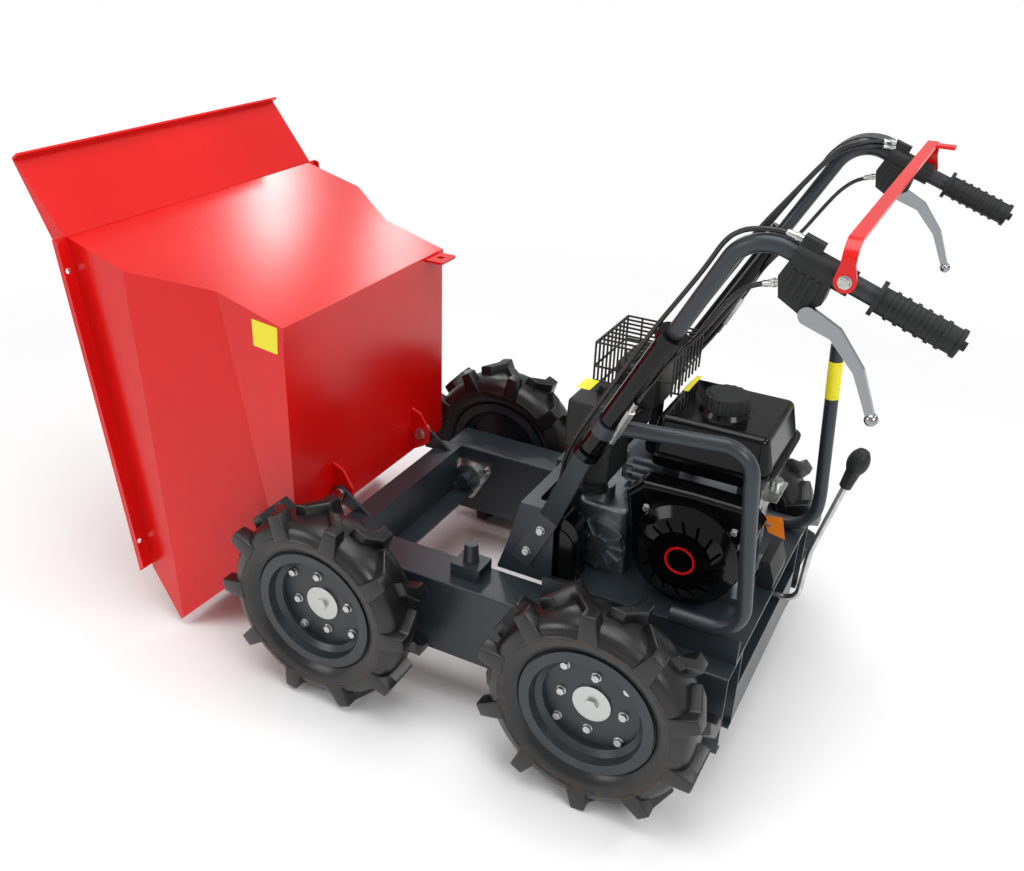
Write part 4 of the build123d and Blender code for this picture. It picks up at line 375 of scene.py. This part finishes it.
# ---- Tyres ------------------------------------------------------------------------------
# Four cross-ply agricultural tyres, moulded in black natural rubber: a round waxy casing,
# twenty swept lugs with splayed roots, a rib and a faint brown dust ring on each sidewall.
tyre_rubber, tree, place = start_material("moulded tyre rubber")
drift = noise(tree, place, 16.0, 5.0)
tint = two_tone(tree, drift, "#0f0f10", "#1a1a1b", 0.35, 0.75)
DUST_FROM_R, DUST_MOST_R, DUST_TO_R, DUST_MOST = 0.138, 0.150, 0.158, 0.55
radius = from_axle(tree, place)
ring = add(tree, "ShaderNodeMapRange", {
    "Value": radius, "From Min": DUST_FROM_R, "From Max": DUST_MOST_R}).outputs[0]
ring_end = add(tree, "ShaderNodeMapRange", {
    "Value": radius, "From Min": DUST_MOST_R, "From Max": DUST_TO_R,
    "To Min": 1.0, "To Max": 0.0}).outputs[0]
ring = maths(tree, "MULTIPLY", ring, ring_end)
dust = noise(tree, place, 55.0, 6.0)
dust = add(tree, "ShaderNodeMapRange", {
    "Value": dust, "From Min": 0.45, "From Max": 0.8}).outputs[0]
dust = maths(tree, "MULTIPLY", dust, ring)
dust = maths(tree, "MULTIPLY", dust, DUST_MOST)
dusted = add(tree, "ShaderNodeMix", {0: dust, 6: tint, 7: srgb("#6a5138")}, data_type="RGBA")
grain = noise(tree, place, 300.0, 3.0)
relief = bumps(tree, grain, 0.14, 0.0007)
sheen = spread(tree, drift, 0.2, 0.42)
sheen = maths(tree, "ADD", sheen, dust)
rubber = add(tree, "ShaderNodeBsdfPrincipled", {
    "Base Color": dusted.outputs[2], "Roughness": sheen, "Normal": relief, "IOR": 1.52}).outputs[0]
add(tree, "ShaderNodeOutputMaterial", {"Surface": rubber})

CASING = (
    # outward of the wheel's middle, radius
    (0.0345, 0.1024), (0.0347, 0.1210), (0.0385, 0.1245), (0.0440, 0.1310), (0.0478, 0.1385),
    (0.0497, 0.1460), (0.0500, 0.1500), (0.0512, 0.1515), (0.0512, 0.1545), (0.0499, 0.1560),
    (0.0484, 0.1620), (0.0450, 0.1690), (0.0398, 0.1745), (0.0320, 0.1788), (0.0220, 0.1815),
    (0.0110, 0.1828), (0.0, 0.1832),
)
TYRE_SIDES = 96
LUG_ROOT_R, LUG_TOP_R, LUGS_A_SIDE = 0.150, 0.2000, 10
LUG_W, LUG_SWEEP, LUG_FLARE = 0.025, 0.030, 0.006
LUG_ROOT_END, LUG_CROWN_END, LUG_TIP = 0.0528, 0.0490, -0.006
LUG_KNEE_IN, LUG_KNEE_OUT, LUG_EDGE = 0.0223, 0.0265, 0.0028
HAIR_L, HAIR_R, HAIR_LEAN, HAIR_SUNK, HAIR_OUT = 0.009, 0.0007, 35, 0.0015, 0.0465
GROUND_CLEAR = 0.17


def turned(name, centre, outline, sides):
    """Piece turned about a line along Y: each ring is pulled out of the one before."""
    x, y, z = centre
    first_y, first_r = outline[0]
    bpy.ops.object.select_all(action="DESELECT")
    bpy.ops.mesh.primitive_circle_add(vertices=sides, radius=first_r, rotation=(pi / 2, 0, 0),
                                      location=(x, y + first_y, z))
    piece = bpy.context.object
    piece.name = name
    bpy.ops.object.mode_set(mode="EDIT")
    bpy.ops.mesh.select_all(action="SELECT")
    for (from_y, from_r), (to_y, to_r) in zip(outline, outline[1:]):
        bpy.ops.mesh.extrude_region_move(TRANSFORM_OT_translate={"value": (0, to_y - from_y, 0)})
        grow = to_r / from_r
        bpy.ops.transform.resize(value=(grow, 1, grow), center_override=(x, y + to_y, z))
    bpy.ops.mesh.select_all(action="SELECT")
    bpy.ops.mesh.remove_doubles(threshold=0.00001)
    bpy.ops.object.mode_set(mode="OBJECT")
    settle(piece)
    return piece


def lug_outline(flare, outer_end):
    """Corners of a lug seen from above the tread, along the tread and outward."""
    half, lead = LUG_W / 2 + flare, LUG_SWEEP / 2
    return (
        (-lead - half, outer_end), (-lead - half, LUG_KNEE_IN), (lead - half, LUG_TIP - flare),
        (lead + half, LUG_TIP - flare), (half - lead, LUG_KNEE_OUT), (half - lead, outer_end),
    )


root_outline = lug_outline(LUG_FLARE, LUG_ROOT_END)
crown_outline = lug_outline(0.0, LUG_CROWN_END)
bpy.ops.object.select_all(action="DESELECT")
bpy.ops.mesh.primitive_circle_add(vertices=6, radius=LUG_SWEEP, fill_type="NGON")
lug = bpy.context.object
lug.name = "lug_model"
for corner, (along, outward) in zip(lug.data.vertices, root_outline):
    corner.co = (along, outward, LUG_ROOT_R)
lug_h = LUG_TOP_R - LUG_ROOT_R
bpy.ops.object.mode_set(mode="EDIT")
bpy.ops.mesh.select_all(action="SELECT")
bpy.ops.mesh.extrude_region_move(TRANSFORM_OT_translate={"value": (0, 0, lug_h)})
bpy.ops.object.mode_set(mode="OBJECT")
for corner in lug.data.vertices:
    if corner.co.z > LUG_ROOT_R + lug_h / 2:
        below = Vector(corner.co[:2])
        nearest = min(range(6), key=lambda i: (Vector(root_outline[i]) - below).length)
        corner.co = (*crown_outline[nearest], LUG_TOP_R)
rounding = lug.modifiers.new("rounding", "BEVEL")
rounding.width = LUG_EDGE
rounding.segments = 3
rounding.limit_method = "ANGLE"
rounding.angle_limit = radians(28)
bpy.ops.object.modifier_apply(modifier="rounding")
settle(lug)
bpy.ops.object.select_all(action="DESELECT")
bpy.ops.mesh.primitive_cone_add(
    vertices=4, radius1=HAIR_R, depth=HAIR_L, rotation=(radians(-HAIR_LEAN), 0, 0),
    location=(-LUG_SWEEP / 2, HAIR_OUT, LUG_TOP_R - HAIR_SUNK + HAIR_L / 3))
hair = bpy.context.object
settle(hair)

outline = [(-out, r) for out, r in CASING] + [(out, r) for out, r in reversed(CASING[:-1])]
outline.append(outline[0])
for wheel, axle_x, sign, _, phase in WHEELS:
    tyre = turned(f"tyre_dressed_{wheel}", (0, 0, 0), outline, TYRE_SIDES)
    parts = [tyre]
    phasing = Matrix.Rotation(radians(phase), 4, "Y")
    for model in (lug, hair):
        for step in range(2 * LUGS_A_SIDE):
            mirrored = step % 2 == 1
            stance = Matrix.Rotation(step * pi / LUGS_A_SIDE, 4, "Y")
            if mirrored:
                stance = stance @ Matrix.Scale(-1, 4, (0, 1, 0))
            tip = phasing @ stance @ Vector((0, 0, LUG_TOP_R))
            if model is hair and tip.z < -GROUND_CLEAR:
                continue
            copy = model.copy()
            copy.data = model.data.copy()
            studio.collection.objects.link(copy)
            copy.data.transform(stance)
            if mirrored:
                copy.data.flip_normals()
            parts.append(copy)
    bpy.ops.object.select_all(action="DESELECT")
    for part in parts:
        part.select_set(True)
    bpy.context.view_layer.objects.active = tyre
    bpy.ops.object.join()
    stance = Matrix.Translation((axle_x, sign * TRACK_HALF, AXLE_Z))
    if sign < 0:
        stance = stance @ Matrix.Scale(-1, 4, (0, 1, 0))
    tyre.data.transform(stance @ phasing)
    if sign < 0:
        tyre.data.flip_normals()
    tyre.data.materials.clear()
    tyre.data.materials.append(tyre_rubber)
    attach(tyre, f"wheel_{wheel}")
    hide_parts(f"tyre_{wheel}")
for model in (lug, hair):
    bpy.data.objects.remove(model)

# ---- Engine covers ----------------------------------------------------------------------
# The fan shroud, recoil cover, tank, pulley guard and handle sleeves are pressed steel in
# gloss black enamel: nearly black, with small sharp reflections of the lamps.
black_enamel, tree, place = start_material("gloss black enamel on steel")
drift = noise(tree, place, 12.0, 3.0)
tint = two_tone(tree, drift, "#040405", "#09090a")
sheen = spread(tree, drift, 0.08, 0.17)
coat = add(tree, "ShaderNodeBsdfPrincipled", {
    "Base Color": tint, "Roughness": sheen, "IOR": 1.34}).outputs[0]
add(tree, "ShaderNodeOutputMaterial", {"Surface": coat})
dress(black_enamel, "fan_shroud", "recoil_cover", "fuel_tank", "pulley_guard",
      "handle_sleeve_left", "handle_sleeve_right")

# ---- Castings ---------------------------------------------------------------------------
# The crankcase, cylinder and gearbox are die-cast aluminium, left raw. A fine grain breaks
# up their reflections, and the skin is darker in patches.
cast_metal, tree, place = start_material("raw die-cast aluminium")
blotch = noise(tree, place, 35.0, 5.0)
tint = two_tone(tree, blotch, "#7e858a", "#a3a9ad", 0.3, 0.75)
grain = noise(tree, place, 900.0, 2.0)
relief = bumps(tree, grain, 0.3, 0.0004)
metal = add(tree, "ShaderNodeBsdfPrincipled", {
    "Base Color": tint, "Roughness": 0.42, "Metallic": 1.0, "Normal": relief}).outputs[0]
add(tree, "ShaderNodeOutputMaterial", {"Surface": metal})
dress(cast_metal, "engine_block", "gearbox")

# ---- Black plastic ----------------------------------------------------------------------
# The air cleaner, fuel cap, lever housings, knob and switch box are moulded ABS with a fine
# spark-eroded grain.
abs_black, tree, place = start_material("grained black ABS")
grain = noise(tree, place, 700.0, 2.0)
tint = two_tone(tree, grain, "#151616", "#212222")
relief = bumps(tree, grain, 0.35, 0.0004)
plastic = add(tree, "ShaderNodeBsdfPrincipled", {
    "Base Color": tint, "Roughness": 0.48, "Normal": relief, "IOR": 1.40}).outputs[0]
add(tree, "ShaderNodeOutputMaterial", {"Surface": plastic})
dress(abs_black, "air_cleaner", "fuel_cap", "lever_housing_left", "lever_housing_right",
      "gear_knob", "switch_box", "intake_boot", "grip_left", "grip_right")

# ---- Exhaust ----------------------------------------------------------------------------
# The muffler and its welded wire cage wear a heat-resistant matt black paint, which goes
# slightly brown in patches and hardly reflects.
heat_paint, tree, place = start_material("matt black heat paint")
blotch = noise(tree, place, 45.0, 4.0)
tint = two_tone(tree, blotch, "#141414", "#242322")
paint = add(tree, "ShaderNodeBsdfPrincipled", {
    "Base Color": tint, "Roughness": 0.55, "IOR": 1.5}).outputs[0]
add(tree, "ShaderNodeOutputMaterial", {"Surface": paint})
dress(heat_paint, "muffler", "muffler_cage")

# ---- Levers and bail --------------------------------------------------------------------
# The clutch levers are polished cast aluminium with a hand's smears on it. The dead-man
# bail is bent strip steel in the skip's red coat.
polished, tree, place = start_material("polished aluminium")
smear = noise(tree, place, 80.0, 3.0)
sheen = spread(tree, smear, 0.1, 0.24)
metal = add(tree, "ShaderNodeBsdfPrincipled", {
    "Base Color": srgb("#9b9ea1"), "Roughness": sheen, "Metallic": 1.0}).outputs[0]
add(tree, "ShaderNodeOutputMaterial", {"Surface": metal})
dress(polished, "clutch_lever_left", "clutch_lever_right")
dress(red_coat, "bail")

# ---- Frame bolts ------------------------------------------------------------------------
# Zinc-plated hex bolts: three through each bearing flange, two through the foot of each
# handle bar into the console, one on each bail pivot and three round the recoil cover.
FLANGE_FACE_Y, FLANGE_BOLT_R = 0.185, 0.047
BAR_FACE_Y, BAR_BOLTS = 0.192, ((-0.1675, 0.329), (-0.193, 0.380))
BAIL_PIVOT = (-0.6477, 0.3568, 0.9731)
COVER_FACE_Y, COVER_BOLTS = 0.124, ((-0.3589, 0.4436), (-0.5151, 0.4436), (-0.5302, 0.4195))
places = []
for _, axle_x, sign, _, _ in WHEELS:
    for turn in (-90, 30, 150):
        where = (axle_x + FLANGE_BOLT_R * cos(radians(turn)), sign * FLANGE_FACE_Y,
                 AXLE_Z + FLANGE_BOLT_R * sin(radians(turn)))
        places.append((where, (0, -sign, 0), radians(turn)))
for sign in (1, -1):
    for x, z in BAR_BOLTS:
        places.append(((x, sign * BAR_FACE_Y, z), (0, sign, 0), x * 40))
    x, y, z = BAIL_PIVOT
    places.append(((x, sign * y, z), (0, sign, 0), 0.3))
set_out(m8_bolt, "frame_bolts", "chassis", zinc, places)
m6_bolt = hex_bolt("m6_bolt", head_r=0.0058, head_h=0.0042, washer_r=0.0072, washer_t=0.0012)
places = [((x, COVER_FACE_Y, z), (0, 1, 0), x * 30) for x, z in COVER_BOLTS]
set_out(m6_bolt, "cover_bolts", "chassis", zinc, places)

# ---- Cables -----------------------------------------------------------------------------
# Bowden cables in black PVC sheaths run from the lever housings down the handles into the
# console. Each starts in a plated ferrule, and the lower two pass through a long adjuster.
sheath, tree, place = start_material("black PVC cable sheath")
scuff = noise(tree, place, 180.0, 4.0)
tint = two_tone(tree, scuff, "#0d0d0e", "#1d1d1e")
sheen = spread(tree, scuff, 0.28, 0.45)
plastic = add(tree, "ShaderNodeBsdfPrincipled", {
    "Base Color": tint, "Roughness": sheen, "IOR": 1.53}).outputs[0]
add(tree, "ShaderNodeOutputMaterial", {"Surface": plastic})
CABLE_R = 0.0035
LOWER_MM = (
    (-567, 332, 951), (-549, 331, 946), (-530, 327, 938), (-512, 317, 922), (-495, 305, 898),
    (-459, 282, 838), (-413, 262, 781), (-388.5, 295.4, 734.5), (-329.8, 262, 611.9),
    (-276, 202, 545), (-252, 174, 498), (-220, 146, 456), (-188, 120, 434), (-181, 111, 402))
ADJUSTED = slice(7, 9)
ROUTES_MM = {
    "cable_upper_left": (
        (-587, 332, 1009), (-562, 332, 1016), (-537, 333, 1015), (-512, 331, 1010),
        (-489, 327, 993), (-466, 320, 949), (-434, 310, 898), (-398, 299, 842), (-336, 277, 732),
        (-274, 256, 620), (-250, 238, 566), (-234, 208, 516), (-216, 180, 470), (-190, 148, 438),
        (-181, 138, 403)),
    "cable_lower_left": LOWER_MM,
    "cable_upper_right": (
        (-587, -332, 1009), (-566, -322, 1014), (-545, -305, 1014), (-515, -301, 1009),
        (-488, -302, 985), (-461, -304, 945), (-432, -301, 898), (-398, -294, 842),
        (-336, -277, 732), (-274, -256, 620), (-250, -238, 566), (-234, -208, 516),
        (-216, -180, 470), (-190, -148, 438), (-181, -138, 403)),
    "cable_lower_right": [(x, -y, z) for x, y, z in LOWER_MM],
    "throttle_cable": (
        (-587, -327, 1004), (-568, -314, 1008), (-545, -296, 1008), (-514, -292, 1000),
        (-487, -293, 977), (-456, -294, 935), (-388, -283, 838), (-325, -263, 727),
        (-262, -243, 622), (-240, -224, 562), (-222, -196, 510), (-202, -168, 458),
        (-186, -152, 436), (-181, -148, 403)),
    "brake_cable": (
        (-587, -324, 1013), (-566, -309, 1016), (-542, -292, 1015), (-512, -285, 1006),
        (-484, -284, 978), (-448, -284, 928), (-379, -272, 832), (-316, -252, 722),
        (-256, -232, 617), (-236, -208, 552), (-220, -178, 500), (-204, -146, 452),
        (-189, -128, 432), (-181, -122, 402)),
}
CABLES = {
    name: [Vector([c / 1000 for c in point]) for point in route]
    for name, route in ROUTES_MM.items()}
for name, route in CABLES.items():
    line = bpy.data.curves.new(name, "CURVE")
    line.dimensions = "3D"
    line.resolution_u = 10
    line.bevel_depth = CABLE_R
    line.bevel_resolution = 3
    line.use_fill_caps = True
    spline = line.splines.new("NURBS")
    spline.points.add(len(route) - 1)
    for knot, point in zip(spline.points, route):
        knot.co = (*point, 1.0)
    spline.order_u = 3
    spline.use_endpoint_u = True
    run = bpy.data.objects.new(name, line)
    studio.collection.objects.link(run)
    line.materials.append(sheath)
    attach(run, "chassis")


TURNED_CORE_R = 0.0002


def rod(name, steps, sides):
    """Small turned fitting at the origin that points up: (height, radius) steps."""
    steps = [(0.0, TURNED_CORE_R), *steps, (steps[-1][0], TURNED_CORE_R)]
    piece = turned(name, (0, 0, 0), steps, sides)
    piece.data.transform(Matrix.Rotation(radians(90), 4, "X"))
    return piece


ferrule = rod("ferrule", (
    (0.0, 0.0052), (0.006, 0.0052), (0.0062, 0.0062), (0.0095, 0.0062),
    (0.0097, 0.0048), (0.021, 0.0048), (0.0225, 0.0040)), 20)
places = [(route[0], route[1] - route[0], 0.0) for route in CABLES.values()]
set_out(ferrule, "cable_ferrules", "chassis", zinc, places)
adjuster = rod("adjuster", (
    (-0.050, 0.0046), (-0.030, 0.0046), (-0.0295, 0.0068),
    (0.0295, 0.0068), (0.030, 0.0046), (0.050, 0.0046)), 6)
places = []
for name in ("cable_lower_left", "cable_lower_right"):
    above, below = CABLES[name][ADJUSTED]
    places.append(((above + below) / 2, below - above, 0.0))
set_out(adjuster, "cable_adjusters", "chassis", zinc, places)
for model in (m8_bolt, m6_bolt, ferrule, adjuster):
    bpy.data.objects.remove(model)

# ---- Recoil badge and stickers ----------------------------------------------------------
# The recoil cover carries a blank black disc in a red moulded ring. The stickers are blank
# printed vinyl with a clear film over them.
red_ring, tree, place = start_material("red moulded ABS")
flow = noise(tree, place, 240.0, 2.0)
sheen = spread(tree, flow, 0.2, 0.35)
plastic = add(tree, "ShaderNodeBsdfPrincipled", {
    "Base Color": srgb("#d8121c"), "Roughness": sheen, "IOR": 1.53}).outputs[0]
add(tree, "ShaderNodeOutputMaterial", {"Surface": plastic})
BADGE, BADGE_SIDES = (-0.437, 0.1541, 0.378), 72
ring = turned("badge_ring", BADGE, (
    (0.0, 0.0225), (0.0016, 0.0230), (0.0018, 0.0250), (0.0016, 0.0268), (0.0, 0.0274),
    (0.0, 0.0225)), BADGE_SIDES)
ring.data.materials.append(red_ring)
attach(ring, "chassis")
disc = turned("badge_disc", BADGE, (
    (0.0, 0.0228), (0.0007, 0.0226), (0.0009, 0.0210), (0.0007, 0.0200), (0.0006, 0.0001),
    (0.0, 0.0001), (0.0, 0.0228)), BADGE_SIDES)
disc.data.materials.append(black_enamel)
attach(disc, "chassis")


def even_colour(name, colour, darker):
    """Plain plastic with a slightly darker grain and the sheen of a clear film."""
    made, tree, place = start_material(name)
    screen = noise(tree, place, 400.0, 3.0)
    tint = two_tone(tree, screen, darker, colour, 0.3, 0.55)
    film = add(tree, "ShaderNodeBsdfPrincipled", {
        "Base Color": tint, "Roughness": 0.3, "IOR": 1.49}).outputs[0]
    add(tree, "ShaderNodeOutputMaterial", {"Surface": film})
    return made


yellow_vinyl = even_colour("yellow printed vinyl", "#efe22a", "#e0d41c")


CORNER_R, FILM_T = 0.0018, 0.0003


def sticker(name, corners, body, material):
    """Thin label with rounded corners, laid out by its four corners in turn."""
    bpy.ops.object.select_all(action="DESELECT")
    bpy.ops.mesh.primitive_plane_add(size=0.02)
    piece = bpy.context.object
    piece.name = name
    for index, corner in zip((0, 1, 3, 2), corners):
        piece.data.vertices[index].co = corner
    bpy.ops.object.mode_set(mode="EDIT")
    bpy.ops.mesh.select_all(action="SELECT")
    bpy.ops.mesh.bevel(offset=CORNER_R, segments=3, affect="VERTICES")
    bpy.ops.object.mode_set(mode="OBJECT")
    film = piece.modifiers.new("film", "SOLIDIFY")
    film.thickness = FILM_T
    film.offset = 0.0
    bpy.ops.object.modifier_apply(modifier="film")
    settle(piece)
    piece.data.materials.append(material)
    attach(piece, body)


SKIP_FACE_Y, AIR_CLEANER_TOP_Z, TANK_TOP_Z = 0.27225, 0.62225, 0.59625
sticker("skip_sticker", (
    (0.3535, SKIP_FACE_Y, 0.6890), (0.2975, SKIP_FACE_Y, 0.6830),
    (0.3005, SKIP_FACE_Y, 0.6320), (0.3540, SKIP_FACE_Y, 0.6380)), "skip", yellow_vinyl)
sticker("air_cleaner_sticker", (
    (-0.2015, 0.0520, AIR_CLEANER_TOP_Z), (-0.2265, 0.0520, AIR_CLEANER_TOP_Z),
    (-0.2265, 0.0960, AIR_CLEANER_TOP_Z), (-0.2015, 0.0960, AIR_CLEANER_TOP_Z)),
    "chassis", yellow_vinyl)
sticker("tank_sticker", (
    (-0.3500, -0.0440, TANK_TOP_Z), (-0.3500, -0.1200, TANK_TOP_Z),
    (-0.3590, -0.1200, TANK_TOP_Z), (-0.3590, -0.0440, TANK_TOP_Z)), "chassis", yellow_vinyl)

# ---- Choke tab --------------------------------------------------------------------------
# A small plate of moulded orange ABS stands on a plated stem behind the engine block. Its
# flat bright colour is the one warm note among the dark parts there.
orange_abs = even_colour("orange moulded ABS", "#e8801c", "#d8720f")
TAB_Y, STEM_R, STEM_L = 0.020, 0.003, 0.032
sticker("choke_tab", (
    (-0.537, TAB_Y, 0.429), (-0.571, TAB_Y, 0.434),
    (-0.581, TAB_Y, 0.392), (-0.550, TAB_Y, 0.398)), "chassis", orange_abs)
tab_stem = rod("tab_stem", ((0.0, STEM_R), (STEM_L, STEM_R)), 16)
set_out(tab_stem, "choke_stem", "chassis", zinc,
        [((-0.521, 0.0215, 0.414), (-1, 0, 0), 0.0)])
bpy.data.objects.remove(tab_stem)

# ---- Release lever wrap -----------------------------------------------------------------
# A blank yellow vinyl sleeve is wrapped round the skip's release lever near its top, where
# a hand takes hold of it. It stands a little proud of the tube.
WRAP_R, WRAP_L, WRAP_FOOT = 0.0131, 0.073, (-0.5802, -0.214, 0.570)
LEVER_LEAN = (0.0051, 0.0, 0.073)
lever_wrap = rod("lever_wrap", ((0.0, WRAP_R), (WRAP_L, WRAP_R)), 40)
set_out(lever_wrap, "release_lever_sticker", "chassis", yellow_vinyl,
        [(WRAP_FOOT, LEVER_LEAN, 0.0)])
bpy.data.objects.remove(lever_wrap)

low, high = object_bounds()
